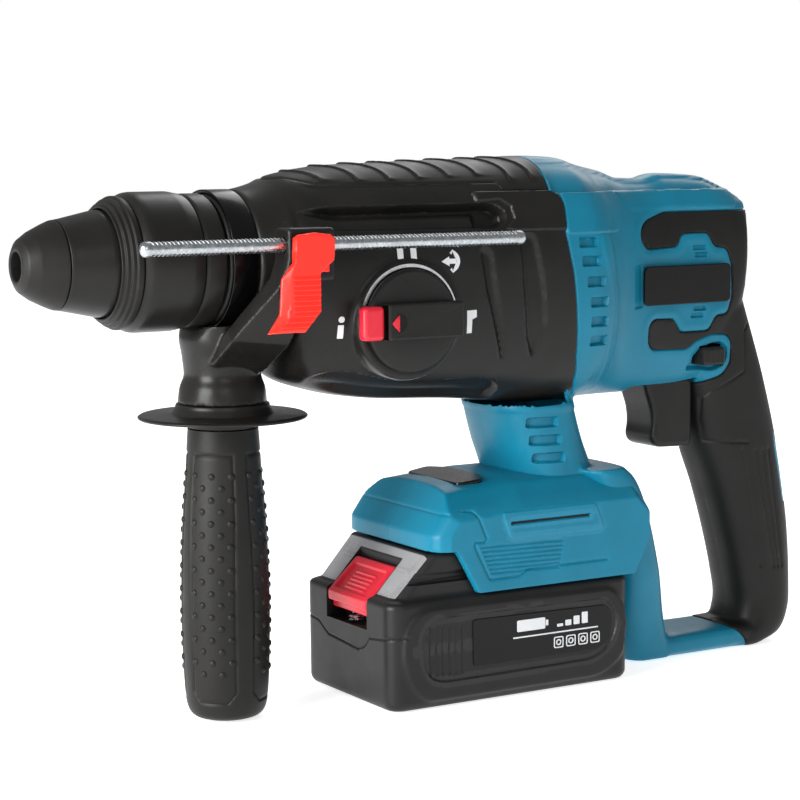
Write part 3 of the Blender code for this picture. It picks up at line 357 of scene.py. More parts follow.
def outward(v, f):
    """The same mesh with its faces turned outwards."""
    a, b, c = v[f[:, 0]], v[f[:, 1]], v[f[:, 2]]
    volume = np.sum(np.cross(a, b) * c)
    return (v, f if volume > 0 else f[:, ::-1])


def fused(parts, voxel=0.8, passes=4):
    """Closed shapes merged into one smooth skin by a voxel remesh."""
    made = bare("fusing", *joined(parts))
    remesh = made.modifiers.new("remesh", "REMESH")
    remesh.mode = "VOXEL"
    remesh.voxel_size = voxel
    return relaxed(*arrays(made), passes)


def carved(shape, tools):
    """A shape with closed tools cut out of it."""
    made = bare("carving", *shape)
    helpers = []
    for tool in tools:
        helper = bare("tool", *tool)
        cut = made.modifiers.new("cut", "BOOLEAN")
        cut.object, cut.operation, cut.solver = helper, "DIFFERENCE", "MANIFOLD"
        helpers.append(helper)
    result = arrays(made)
    for helper in helpers:
        mesh = helper.data
        bpy.data.objects.remove(helper)
        bpy.data.meshes.remove(mesh)
    return result


def both_sides(inner, outer):
    """The y ranges from inner to outer on the left side and on the right."""
    return [(-outer, -inner), (inner, outer)]


def edges_of(f):
    """Unique edges of the triangles, and for each triangle the three edge numbers."""
    pairs = np.sort(np.concatenate([f[:, [0, 1]], f[:, [1, 2]], f[:, [2, 0]]]), axis=1)
    key = pairs[:, 0].astype(np.int64) * (int(f.max()) + 1) + pairs[:, 1]
    _, first, back = np.unique(key, return_index=True, return_inverse=True)
    return pairs[first], back.reshape(3, -1).T


def normals(v, f):
    """Unit vertex normals, weighted by face area."""
    across = np.cross(v[f[:, 1]] - v[f[:, 0]], v[f[:, 2]] - v[f[:, 0]])
    out = np.zeros_like(v)
    for k in range(3):
        for axis in range(3):
            out[:, axis] += np.bincount(f[:, k], across[:, axis], len(v))
    return out / (np.linalg.norm(out, axis=1)[:, None] + 1e-12)


def relaxed(v, f, passes=3, share=0.6):
    """Vertices eased towards their neighbours' middle, without much shrinking."""
    edges, _ = edges_of(f)
    count = np.bincount(edges.ravel(), minlength=len(v))[:, None]
    for k in range(passes * 2):
        total = np.zeros_like(v)
        for axis in range(3):
            total[:, axis] = (np.bincount(edges[:, 0], v[edges[:, 1], axis], len(v))
                              + np.bincount(edges[:, 1], v[edges[:, 0], axis], len(v)))
        factor = share if k % 2 == 0 else -share * 1.04
        v = v + factor * (total / np.maximum(count, 1) - v)
    return v, f


def refined(v, f, wanted, rounds=3):
    """Triangles split until their edges are as short as wanted(points) asks."""
    for _ in range(rounds):
        edges, of_face = edges_of(f)
        a, b = v[edges[:, 0]], v[edges[:, 1]]
        middle = (a + b) / 2.0
        split = np.linalg.norm(a - b, axis=1) > wanted(middle)
        if not split.any():
            break
        n = normals(v, f)
        na, nb = n[edges[:, 0]], n[edges[:, 1]]
        lift = (na * np.sum((a - middle) * na, 1)[:, None]
                + nb * np.sum((b - middle) * nb, 1)[:, None]) / 2.0
        number = np.full(len(edges), -1)
        number[split] = len(v) + np.arange(split.sum())
        v = np.concatenate([v, (middle + 0.75 * lift)[split]])
        mids = number[of_face]
        cuts = (mids >= 0).sum(1)
        done = [f[cuts == 0]]
        for turn in range(3):
            t, m = np.roll(f, -turn, axis=1), np.roll(mids, -turn, axis=1)
            one = (cuts == 1) & (m[:, 0] >= 0)
            done.append(np.stack([t[one, 0], m[one, 0], t[one, 2]], 1))
            done.append(np.stack([m[one, 0], t[one, 1], t[one, 2]], 1))
            two = (cuts == 2) & (m[:, 0] >= 0) & (m[:, 1] >= 0)
            done.append(np.stack([m[two, 0], t[two, 1], m[two, 1]], 1))
            done.append(np.stack([t[two, 0], m[two, 0], m[two, 1]], 1))
            done.append(np.stack([t[two, 0], m[two, 1], t[two, 2]], 1))
        three = cuts == 3
        t, m = f[three], mids[three]
        done.append(np.stack([t[:, 0], m[:, 0], m[:, 2]], 1))
        done.append(np.stack([m[:, 0], t[:, 1], m[:, 1]], 1))
        done.append(np.stack([m[:, 2], m[:, 1], t[:, 2]], 1))
        done.append(m)
        f = np.concatenate(done)
    return v, f


def compact(v, f):
    """The mesh without its unused vertices."""
    used = np.unique(f)
    number = np.zeros(len(v), np.int64)
    number[used] = np.arange(len(used))
    return v[used], number[f]


def clipped(v, f, field):
    """The part of a mesh where the field is above zero, cut along its zero line."""
    field = np.where(np.abs(field) < 1e-6, 1e-6, field)
    keep = field > 0.0
    inside = keep[f].sum(1)
    edges, of_face = edges_of(f)
    fa, fb = field[edges[:, 0]], field[edges[:, 1]]
    cut = (fa > 0.0) != (fb > 0.0)
    t = np.clip(fa / np.where(cut, fa - fb, 1.0), 0.02, 0.98)[:, None]
    number = np.full(len(edges), -1)
    number[cut] = len(v) + np.arange(cut.sum())
    v = np.concatenate([v, (v[edges[:, 0]] * (1 - t) + v[edges[:, 1]] * t)[cut]])
    mids = number[of_face]
    done = [f[inside == 3]]
    for turn in range(3):
        tri, m = np.roll(f, -turn, axis=1), np.roll(mids, -turn, axis=1)
        one = (inside == 1) & keep[tri[:, 0]]
        done.append(np.stack([tri[one, 0], m[one, 0], m[one, 2]], 1))
        two = (inside == 2) & ~keep[tri[:, 0]]
        done.append(np.stack([m[two, 0], tri[two, 1], tri[two, 2]], 1))
        done.append(np.stack([m[two, 0], tri[two, 2], m[two, 2]], 1))
    return compact(v, np.concatenate(done))


def rimmed(v, f, depth):
    """An open skin with walls of the given depth turned in along its edges."""
    pairs = np.concatenate([f[:, [0, 1]], f[:, [1, 2]], f[:, [2, 0]]])
    size = int(f.max()) + 1
    key = np.minimum(pairs[:, 0], pairs[:, 1]) * size + np.maximum(pairs[:, 0], pairs[:, 1])
    _, first, count = np.unique(key, return_index=True, return_counts=True)
    border = pairs[first[count == 1]]
    if not len(border):
        return v, f
    rim = np.unique(border)
    number = np.full(size, -1)
    number[rim] = len(v) + np.arange(len(rim))
    v2 = np.concatenate([v, v[rim] - normals(v, f)[rim] * depth])
    a, b = border[:, 0], border[:, 1]
    walls = [np.stack([b, a, number[a]], 1), np.stack([b, number[a], number[b]], 1)]
    return v2, np.concatenate([f, *walls])


# ---------------------------------------------------------------- materials

def rgb(red, green, blue):
    """Screen values from 0 to 255 as linear colour."""
    out = []
    for value in (red, green, blue):
        value /= 255.0
        out.append(value / 12.92 if value <= 0.04045 else ((value + 0.055) / 1.055) ** 2.4)
    return (*out, 1.0)


class Shader:
    """A small builder for procedural materials in object space."""

    def __init__(self, name):
        self.material = bpy.data.materials.new(name)
        self.material.use_nodes = True
        self.tree = self.material.node_tree
        self.surface = self.tree.nodes["Principled BSDF"]
        self.place = self.tree.nodes.new("ShaderNodeTexCoord").outputs["Object"]

    def node(self, kind, **values):
        made = self.tree.nodes.new(kind)
        for key, value in values.items():
            setattr(made, key, value)
        return made

    def link(self, out, into):
        self.tree.links.new(out, into)

    def noise(self, size_mm, detail=3.0, rough=0.5, stretch=(1.0, 1.0, 1.0)):
        """Noise whose features are about size_mm across."""
        mapping = self.node("ShaderNodeMapping")
        mapping.inputs["Scale"].default_value = stretch
        self.link(self.place, mapping.inputs["Vector"])
        made = self.node("ShaderNodeTexNoise")
        made.inputs["Scale"].default_value = 1.0 / (size_mm * MM)
        made.inputs["Detail"].default_value = detail
        made.inputs["Roughness"].default_value = rough
        self.link(mapping.outputs["Vector"], made.inputs["Vector"])
        return made.outputs["Fac"]

    def ranged(self, value, low, high, to_low, to_high):
        made = self.node("ShaderNodeMapRange")
        for key, number in (("From Min", low), ("From Max", high), ("To Min", to_low), ("To Max", to_high)):
            made.inputs[key].default_value = number
        self.link(value, made.inputs["Value"])
        return made.outputs["Result"]

    def maths(self, kind, a, b):
        made = self.node("ShaderNodeMath", operation=kind)
        for socket, value in zip(made.inputs, (a, b)):
            if isinstance(value, (int, float)):
                socket.default_value = value
            else:
                self.link(value, socket)
        return made.outputs["Value"]

    def mixed(self, factor, first, second):
        made = self.node("ShaderNodeMix", data_type="RGBA")
        self.link(factor, made.inputs["Factor"])
        for socket, value in ((made.inputs["A"], first), (made.inputs["B"], second)):
            if isinstance(value, tuple):
                socket.default_value = value
            else:
                self.link(value, socket)
        return made.outputs["Result"]

    def edges(self, low=0.52, high=0.62):
        """1 on exposed edges."""
        return self.ranged(self.node("ShaderNodeNewGeometry").outputs["Pointiness"], low, high, 0.0, 1.0)

    def bump(self, height, strength, depth_mm, before=None):
        made = self.node("ShaderNodeBump")
        made.inputs["Strength"].default_value = strength
        made.inputs["Distance"].default_value = depth_mm * MM
        self.link(height, made.inputs["Height"])
        if before is not None:
            self.link(before, made.inputs["Normal"])
        return made.outputs["Normal"]

    def finish(self, colour, rough, normal, metallic=0.0, specular=0.5):
        self.link(colour, self.surface.inputs["Base Color"])
        self.link(rough, self.surface.inputs["Roughness"])
        self.link(normal, self.surface.inputs["Normal"])
        self.surface.inputs["Metallic"].default_value = metallic
        self.surface.inputs["Specular IOR Level"].default_value = specular
        return self.material


def moulded(name, colour, rough, grain_mm=0.45, grain_depth=0.02, shade=0.86, wear=0.25, specular=0.5,
            rough_spread=0.06):
    """Moulded plastic or rubber: spark-eroded grain, slow colour drift, rubbed edges."""
    s = Shader(name)
    fine, drift = s.noise(grain_mm, 4.0, 0.6), s.noise(18.0, 3.0)
    darker = tuple(c * shade for c in colour[:3]) + (1.0,)
    lighter = tuple(min(1.0, c * 1.35 + 0.03) for c in colour[:3]) + (1.0,)
    base = s.mixed(s.ranged(drift, 0.35, 0.65, 0.0, 1.0), darker, colour)
    speck = s.ranged(s.noise(0.9, 2.0), 0.62, 0.74, 0.0, 0.25)
    base = s.mixed(speck, base, darker)
    base = s.mixed(s.maths("MULTIPLY", s.edges(), wear), base, lighter)
    smudge = s.ranged(s.noise(26.0, 4.0, 0.65), 0.35, 0.7, rough - rough_spread, rough + rough_spread)
    roughness = s.maths("ADD", smudge, s.ranged(fine, 0.3, 0.7, -0.03, 0.03))
    normal = s.bump(s.noise(7.0, 2.0), 0.25, 0.08, s.bump(fine, 0.6, grain_depth))
    return s.finish(base, roughness, normal, specular=specular)


def metal(name, colour, rough, streak=(1.0, 1.0, 1.0), spangle=0.0, wear=0.3):
    """Metal with brushed or spangled variation and dulled edges."""
    s = Shader(name)
    fine = s.noise(0.5, 4.0, 0.6, streak)
    darker = tuple(c * 0.62 for c in colour[:3]) + (1.0,)
    base = s.mixed(s.ranged(s.noise(3.0, 4.0, 0.7), 0.35, 0.65, 0.0, 1.0), darker, colour)
    if spangle:
        cells = s.node("ShaderNodeTexVoronoi")
        cells.inputs["Scale"].default_value = 1.0 / (spangle * MM)
        s.link(s.place, cells.inputs["Vector"])
        patch = s.ranged(cells.outputs["Color"], 0.2, 0.8, 0.0, 1.0)
        base = s.mixed(patch, darker, base)
    base = s.mixed(s.maths("MULTIPLY", s.edges(), wear), base, rgb(235, 235, 232))
    roughness = s.ranged(s.noise(2.0, 3.0), 0.3, 0.7, rough - 0.08, rough + 0.1)
    return s.finish(base, roughness, s.bump(fine, 0.5, 0.012), metallic=1.0)


# screen colour, roughness, grain in mm, its depth, shade of the darker patches, edge wear, specular,
# spread of the roughness
MOULDED = {
    "blue_plastic": ((13, 115, 143), 0.4, 0.5, 0.016, 0.9, 0.3, 0.25),
    "black_plastic": ((29, 28, 27), 0.34, 0.45, 0.02, 0.8, 0.25, 0.22),
    "black_rubber": ((27, 26, 25), 0.46, 0.35, 0.03, 0.84, 0.15, 0.2),
    "red_plastic": ((252, 38, 22), 0.36, 0.5, 0.012, 0.92, 0.3),
    "crimson_plastic": ((216, 24, 48), 0.34, 0.5, 0.012, 0.9, 0.3),
    "battery_plastic": ((29, 28, 28), 0.42, 0.42, 0.03, 0.82, 0.3, 0.25),
    "gloss_black": ((8, 8, 9), 0.2, 1.2, 0.004, 0.8, 0.05, 0.22, 0.04),
    "cell_wrap": ((60, 120, 180), 0.3, 1.0, 0.006, 0.85, 0.1),
    "green_board": ((24, 92, 52), 0.3, 1.4, 0.008, 0.8, 0.2),
    "print_grey": ((214, 216, 218), 0.45, 0.3, 0.01, 0.92, 0.1),
    # painted highlight: a light grey for the black battery's sloping face, standing for the light that falls
    # on it from the left
    "slope_painted_highlight": ((142, 142, 144), 0.3, 0.4, 0.015, 0.8, 0.2),
    # painted shade: a near-black for the shadow inside the base's slots
    "slot_painted_shade": ((14, 14, 15), 0.8, 0.6, 0.02, 0.8, 0.0),
}
# screen colour, roughness, stretch of the brushing, size of the zinc spangles in mm
METALS = {
    "zinc_steel": ((205, 210, 214), 0.28, (0.15, 1.0, 1.0), 0.9),
    "hard_steel": ((150, 150, 152), 0.3, (1.0, 6.0, 6.0)),
    "spring_steel": ((178, 178, 180), 0.26),
    "cast_aluminium": ((188, 190, 192), 0.46),
    "copper_winding": ((190, 108, 62), 0.34, (8.0, 1.0, 1.0)),
    "print_silver": ((214, 216, 220), 0.3),
}
MATERIALS = {name: moulded(name, rgb(*colour), *rest) for name, (colour, *rest) in MOULDED.items()}
MATERIALS.update({name: metal(name, rgb(*colour), *rest) for name, (colour, *rest) in METALS.items()})


# ---------------------------------------------------------------- pieces


def piece(name, shape, material, body, replaces=(), sharp=SHARP):
    """A finished piece: its material, its body and the CAD nodes it stands for."""
    v, f = shape
    v = np.stack([np.minimum(v[:, 0], REAR_X), v[:, 1], np.maximum(v[:, 2], FLOOR_Z)], 1)
    mesh = bpy.data.meshes.new(name)
    mesh.from_pydata(world(v).tolist(), [], np.asarray(f).tolist())
    mesh.polygons.foreach_set("use_smooth", np.ones(len(mesh.polygons), bool))
    mesh.set_sharp_from_angle(angle=math.radians(sharp))
    mesh.materials.append(MATERIALS[material])
    made = bpy.data.objects.new(name, mesh)
    bpy.context.scene.collection.objects.link(made)
    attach(made, body)
    if replaces:
        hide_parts(*replaces)
    return made


# ---------------------------------------------------------------- the body and handle

MAIN_SECTIONS = HOUSING_SECTIONS + BODY_SECTIONS
# z, x of the seam where the black gear housing meets the blue body
SEAM = [(-66.0, 209.0), (-61.0, 206.5), (-54.7, 203.2), (-43.3, 199.7), (-28.7, 198.1), (-19.2, 197.2),
        (-9.7, 196.1), (-0.3, 194.2), (8.0, 192.6), (19.3, 193.4), (22.6, 192.6), (24.2, 190.2),
        (25.4, 188.6), (35.0, 189.2), (41.0, 189.8)]
# (x, z) outlines of the side features; the rubber cover's runs off the handle at the rear
OVERMOULD = [
    (350.0, 14.9), (296.4, 14.9), (256.4, 14.9), (245.4, 11.4), (241.6, 7.6), (241.3, 2.4), (244.6, -1.4),
    (262.4, -0.6), (265.2, 5.0), (279.8, 5.0), (283.4, -1.2), (290.3, -2.0), (293.0, -9.1), (293.5, -23.2),
    (291.4, -30.4), (284.7, -30.9), (280.6, -37.4), (264.8, -37.4), (260.3, -31.2), (248.4, -31.0),
    (245.8, -34.0), (246.2, -41.5), (249.2, -45.0), (269.8, -45.6), (274.2, -42.2), (283.0, -39.6),
    (291.4, -40.1), (294.2, -43.0), (293.8, -52.6), (290.0, -57.6), (277.4, -63.0), (275.7, -65.7),
    (276.6, -83.5), (274.1, -88.0), (262.0, -88.6), (268.0, -92.0), (276.0, -100.0), (280.0, -158.0),
    (276.3, -165.4), (284.9, -166.6), (294.8, -170.2), (302.6, -175.4), (306.7, -180.2), (308.4, -190.0),
    (350.0, -190.0)]
ACCENTS = [
    [(322.6, -84.6), (324.4, -86.0), (329.8, -99.6), (332.4, -117.4), (331.2, -119.6), (327.8, -116.4),
     (322.6, -92.6)],
    [(334.9, -122.5), (336.6, -125.5), (336.6, -132.6), (333.9, -137.2), (333.6, -130.0)]]
# front x and middle z of each vent, of each slot in the neck, and middle of each slot by the badge
VENTS = [(199.0, 3.8), (200.2, -4.0), (202.8, -12.6), (204.6, -21.1), (205.2, -29.3), (205.6, -37.4)]
VENT_LENGTH, VENT_HALF_HEIGHT, VENT_DEPTH = 9.2, 1.95, 2.2
NECK_SLOTS = [(182.4, -71.4), (184.2, -79.0), (186.0, -86.6)]
BADGE = [(241.6, -8.0), (290.4, -8.0), (292.4, -10.6), (292.4, -22.6), (290.4, -25.0), (243.4, -25.0),
         (241.6, -22.8)]
BADGE_STEP = [(236.8, -7.6), (241.2, -7.4), (241.2, -25.4), (236.8, -26.0)]
POCKET = [(271.6, -54.8), (272.7, -50.7), (276.3, -46.2), (282.7, -43.8), (288.4, -43.2), (291.6, -45.0),
          (291.8, -49.4), (290.0, -53.4), (285.6, -55.6)]
CLIP_SLOTS = [(274.8, -1.1), (275.8, -4.3), (275.2, -27.5), (273.8, -30.6)]
BAND = [(193.0, 24.2), (228.0, 24.2), (231.6, 20.0), (229.4, 12.0), (225.4, 7.6), (193.0, 7.4)]
RIB = [(209.8, 7.2), (216.0, 7.2), (219.0, -2.0), (223.0, -20.0), (223.4, -40.0), (221.0, -60.0),
       (217.6, -60.0), (217.4, -38.0), (216.8, -18.0), (213.8, -9.0), (211.0, 0.0)]
GRIP_PANEL = [(304.8, -36.1), (301.9, -39.0), (302.2, -56.8), (285.7, -65.2), (283.5, -68.0),
              (284.3, -78.0), (286.5, -87.6), (304.6, -89.0)]
GRIP_GROOVES = [[(302.1, -92.3), (314.2, -146.0)], [(309.8, -93.3), (321.5, -146.7)],
                [(313.6, -93.5), (323.8, -146.9)], [(317.2, -93.3), (326.2, -147.1)]]
LEVER_HOLE = (276.2, 290.2, -53.8, -44.2)
BRIDGE_BEAM = [(229.0, 24.0), (298.6, 24.0), (299.6, 18.0), (297.2, 15.6), (238.0, 16.0)]
NECK_CREASE = [(197.9, -60.0), (198.8, -66.6), (202.5, -93.0)]


def seam_gap(x, z):
    """Distance in front of the seam between housing and body, positive on the housing's side."""
    rows = np.array(SEAM)
    return (np.interp(z, rows[:, 0], rows[:, 1]) - x) * 0.96


def in_box(a, b, box):
    """Signed distance to an upright rectangle (a0, a1, b0, b1), positive inside."""
    a0, a1, b0, b1 = box
    return np.minimum(np.minimum(a - a0, a1 - a), np.minimum(b - b0, b1 - b))


def in_slot(a, b, box, corner):
    """Signed distance to a rectangle with rounded corners, positive inside."""
    a0, a1, b0, b1 = box
    da = np.abs(a - (a0 + a1) / 2.0) - (a1 - a0) / 2.0 + corner
    db = np.abs(b - (b0 + b1) / 2.0) - (b1 - b0) / 2.0 + corner
    outer = np.hypot(np.maximum(da, 0.0), np.maximum(db, 0.0))
    return corner - outer - np.minimum(np.maximum(da, db), 0.0)


class BodyFields:
    """Signed distances of the body's side features at a set of points."""

    def __init__(self, v):
        self.x, self.y, self.z = v.T
        x, z = self.x, self.z
        self.over = inside_distance(x, z, rounded(OVERMOULD, 2.0))
        for accent in ACCENTS:
            self.over = np.minimum(self.over, -inside_distance(x, z, rounded(accent)))
        self.seam = seam_gap(x, z)
        side = np.abs(self.y) > 8.0
        self.vents = np.full(x.shape, -6.0)
        for x0, z0 in VENTS:
            box = (x0, x0 + VENT_LENGTH, z0 - VENT_HALF_HEIGHT, z0 + VENT_HALF_HEIGHT)
            self.vents = np.maximum(self.vents, in_slot(x, z, box, 0.5))
        self.neck_slots = np.full(x.shape, -6.0)
        for x0, z0 in NECK_SLOTS:
            box = (x0, x0 + 14.0, z0 - 2.0, z0 + 2.0)
            self.neck_slots = np.maximum(self.neck_slots, in_slot(x, z, box, 0.9))
        self.neck_slots = np.where(side, self.neck_slots, -6.0)
        self.clip_slots = np.full(x.shape, -6.0)
        for x0, z0 in CLIP_SLOTS:
            box = (x0 - 3.6, x0 + 3.6, z0 - 0.9, z0 + 0.9)
            self.clip_slots = np.maximum(self.clip_slots, in_slot(x, z, box, 0.6))
        self.badge = inside_distance(x, z, BADGE)
        self.badge_step = inside_distance(x, z, BADGE_STEP)
        self.pocket = inside_distance(x, z, rounded(POCKET))
        self.band = inside_distance(x, z, rounded(BAND))
        self.rib = inside_distance(x, z, rounded(RIB, 4.0))
        self.panel = line_distance(x, z, GRIP_PANEL)
        self.grooves = np.full(x.shape, 9.0)
        for line in GRIP_GROOVES:
            self.grooves = np.minimum(self.grooves, line_distance(x, z, line))
        self.lever_hole = in_box(x, z, LEVER_HOLE)

    def near(self):
        """Distance to the nearest sharp feature."""
        best = np.full(self.x.shape, 9.0)
        for field in (self.over, self.vents, self.neck_slots, self.clip_slots, self.badge,
                      self.badge_step, self.pocket, self.band, self.seam, self.lever_hole):
            best = np.minimum(best, np.abs(field))
        return np.minimum(best, np.minimum(self.panel, self.grooves))


def body_detail(points):
    return np.where(BodyFields(points).near() < 1.0, 0.66, 3.0)


def make_body():
    parts = [loft_x([row for row in MAIN_SECTIONS if row[0] >= 174.0]), loft_z(NECK_SECTIONS),
             loft_z(POST_SECTIONS), loft_z(GRIP_SECTIONS), loft_x(FOOT_SECTIONS),
             block((261.0, -13.6, FLOOR_Z), (314.0, 13.6, -176.0), 3.0, 0.3, "Z")]
    v, f = fused(parts, 1.15, 5)
    trigger_room = block((244.0, -11.4, -100.0), (281.0, 11.4, -57.0), 1.0, 0.3)
    v, f = carved((v, f), [trigger_room])
    v, f = refined(v, f, body_detail)
    fields = BodyFields(v)
    n = normals(v, f)
    side = smooth((np.abs(n[:, 1]) - 0.15) / 0.3)
    x, y, z = v.T
    upper = step(z - 24.2, 0.9) * step(x - 190.0, 1.0) * step(299.0 - x, 2.0) * side
    beam = inside_distance(x, z, rounded(BRIDGE_BEAM))
    lift = -1.3 * upper
    lift += side * (0.7 * step(fields.band, 0.9) + 0.55 * step(beam, 1.6) + 0.5 * step(fields.rib, 2.0))
    lift -= side * VENT_DEPTH * step(fields.vents, 0.5)
    lift -= side * 2.4 * step(fields.neck_slots, 0.5)
    lift -= side * 1.2 * step(fields.clip_slots, 0.5)
    lift -= side * 0.8 * step(fields.badge_step, 0.8)
    lift -= side * 2.6 * step(fields.pocket, 1.2)
    rim = groove(np.abs(fields.over + 2.4), 1.5) * (fields.over < 0.0)
    rim *= step(x - 232.0, 4.0) * step(z + 60.0, 2.0)
    lift += side * 0.35 * rim
    lift -= side * 0.35 * groove(line_distance(x, z, NECK_CREASE), 0.45)
    lift -= 0.35 * groove(y, 0.4) * step(-58.0 - z, 2.0) * step(x - 168.0, 1.0) * step(226.0 - x, 1.0)
    neck_step = step(z + 67.0, 0.8) * step(-52.0 - z, 1.0) * step(212.0 - x, 1.0)
    lift += 0.5 * neck_step * smooth((np.hypot(n[:, 0], n[:, 1]) - 0.4) / 0.3)
    lever = -np.where(np.abs(y) > 12.0, fields.lever_hole, -6.0)     # below zero in the lever's hole
    blue_lift = lift - 0.8 * step(fields.over, 0.7)
    hidden = step(fields.seam, 0.7) * step(z + 64.0, 1.5)
    blue_lift -= 0.9 * hidden
    blue = clipped(v + n * blue_lift[:, None], f,
                   np.minimum(np.minimum(2.5 - fields.over, 3.0 - np.where(z > -64.0, fields.seam, -6.0)),
                              lever))
    piece("body_shell", rimmed(*blue, 1.2), "blue_plastic", "root", ("body_left", "body_right"))

    edge = fields.over
    black_lift = 0.3 - 1.2 * (1.0 - step(edge - 0.35, 0.8))
    black_lift -= side * 0.45 * groove(fields.panel, 0.5)
    black_lift -= side * 0.5 * groove(fields.grooves, 0.7) * step(331.0 - x, 2.0)
    black_lift -= side * 2.6 * step(fields.pocket, 1.2)
    black_lift -= 0.35 * groove(y, 0.4) * step(x - 290.0, 4.0)
    black = clipped(v + n * black_lift[:, None], f, np.minimum(edge, lever))
    piece("handle_overmould", rimmed(*black, 0.6), "black_rubber", "root", ("grip_cover",))


# ---------------------------------------------------------------- the gear housing

CHANNEL = [(66.0, 14.6), (73.4, 18.8), (84.0, 20.6), (150.0, 20.8), (159.0, 20.6), (164.2, 17.6),
           (164.4, 13.4), (160.0, 10.8), (90.0, 11.2), (70.0, 12.8)]
REAR_BAND = [(151.0, 25.0), (205.0, 25.0), (205.0, 9.4), (167.5, 9.6), (163.8, 10.4), (168.0, 14.0),
             (167.6, 19.0), (163.0, 22.0), (151.8, 21.4)]
SCALLOPS = [
    [(150.8, 2.9), (153.4, -12.9), (158.0, -29.1), (162.8, -42.4), (163.6, -41.6), (160.9, -29.2),
     (157.6, -13.0), (155.9, 1.3)],
    [(170.1, 7.3), (171.5, -13.4), (173.8, -33.7), (177.6, -43.0), (182.4, -29.9), (181.1, -13.7),
     (176.9, 8.0)]]
LEDGE = [(80.0, -46.4), (89.7, -44.2), (98.0, -45.6), (114.7, -50.0), (130.0, -50.8), (156.0, -50.8),
         (164.5, -53.4), (167.6, -57.0), (166.6, -61.0), (150.0, -66.0), (90.0, -62.0)]
# x, z of the rubber pad's lower edge, and of the foot of each ridge across it
PAD_EDGE = [(60.0, 29.8), (76.0, 31.4), (84.6, 28.8), (164.0, 28.6), (166.0, 25.6), (212.0, 25.4)]
RIDGES = [(84.6, 29.6), (97.6, 29.4), (111.0, 29.6), (124.6, 30.0), (138.4, 30.4), (152.2, 30.8),
          (166.8, 25.2), (177.6, 25.2)]


class HousingFields:
    """Signed distances of the gear housing's features at a set of points."""

    def __init__(self, v):
        self.x, self.y, self.z = v.T
        x, z = self.x, self.z
        self.channel = inside_distance(x, z, rounded(CHANNEL, 3.0))
        self.band = inside_distance(x, z, REAR_BAND)
        self.scallops = np.maximum(inside_distance(x, z, rounded(SCALLOPS[0], 3.0)),
                                   inside_distance(x, z, rounded(SCALLOPS[1], 3.0)))
        self.ledge = inside_distance(x, z, rounded(LEDGE, 5.0))
        self.seam = seam_gap(x, z)
        rows = np.array(PAD_EDGE)
        self.pad = np.minimum(z - np.interp(x, rows[:, 0], rows[:, 1]), x - 66.0)

    def near(self):
        best = np.full(self.x.shape, 9.0)
        for field in (self.channel, self.band, self.seam, self.pad):
            best = np.minimum(best, np.abs(field))
        return best


def housing_detail(points):
    return np.where(HousingFields(points).near() < 1.4, 0.6, 3.0)


def ridge_height(v):
    """The thin curved ridges across the top pad, as a lift."""
    x, y, z = v.T
    reach = np.abs(y)
    lift = np.zeros(len(v))
    for start, low in RIDGES:
        at = start - 2.2 + 7.5 * smooth(reach / 26.0)
        gap = x - at
        behind = np.where(gap > 0.0, np.exp(-gap / 2.2), np.exp(-(gap / 0.35) ** 2))
        lift += 0.75 * behind * smooth((z - low) / 1.2) * smooth((28.0 - reach) / 3.0)
    return lift


def make_housing():
    rows = [row for row in MAIN_SECTIONS if row[0] <= 215.0]
    seat = spun([(-30.0, 0.0), (-30.0, SEAT_R), (-35.6, SEAT_R), (-38.0, SEAT_R - 0.8), (-38.0, 0.0)],
                "Y", (DIAL_X, 0.0, DIAL_Z), 96, 0.3)
    neck = spun([(44.4, 0.0), (44.4, 24.6), (45.4, 25.8), (66.0, 25.8), (66.0, 0.0)], "X", radius=0.4)
    v, f = fused([loft_x(rows), seat, neck], 0.9, 4)
    v, f = refined(v, f, housing_detail)
    fields = HousingFields(v)
    n = normals(v, f)
    x, y, z = v.T
    side = smooth((np.abs(n[:, 1]) - 0.12) / 0.3)
    front = smooth((x - 70.0) / 22.0)
    tube = np.sqrt(np.clip(1.0 - ((z - 12.6) / 5.4) ** 2, 0.0, 1.0))
    hole = smooth((x - 148.0) / 5.0)
    depth = (6.2 - 4.2 * tube * (1.0 - hole)) * front
    lift = -side * depth * step(fields.channel - 0.3, 1.3)
    lift += side * 0.9 * step(fields.band, 0.8)
    lift -= side * 1.7 * step(fields.scallops, 2.2)
    under = smooth((np.abs(y) - 9.0) / 8.0)
    lift -= under * 3.0 * step(fields.ledge, 1.6) * smooth((x - 78.0) / 22.0)
    facet = step(28.4 - z, 1.0) * step(z - 20.6, 1.0) * step(152.0 - x, 1.0) * smooth((x - 78.0) / 6.0)
    lift -= side * 0.5 * facet
    open_field = np.minimum(fields.seam, 2.0 - fields.pad)
    seam_roll = 0.9 * (1.0 - step(fields.seam - 0.4, 0.8))
    shell_lift = lift - seam_roll - 0.7 * step(fields.pad, 0.7)
    shell = clipped(v + n * shell_lift[:, None], f, open_field)
    piece("gear_housing_shell", rimmed(*shell, 1.6), "black_plastic", "root", ("gear_housing",))

    pv, pf = refined(v, f, lambda p: np.where((p[:, 2] > 24.0) & (p[:, 0] > 74.0), 0.62, 9.0))
    pads = HousingFields(pv)
    edge = np.minimum(pads.pad, pads.seam)
    pad_lift = 0.05 - 0.9 * (1.0 - step(edge - 0.35, 0.8)) + ridge_height(pv)
    pad = clipped(pv + normals(pv, pf) * pad_lift[:, None], pf, edge)
    piece("top_pad_skin", rimmed(*pad, 0.5), "black_rubber", "root", ("top_pad",))


# ---------------------------------------------------------------- battery base

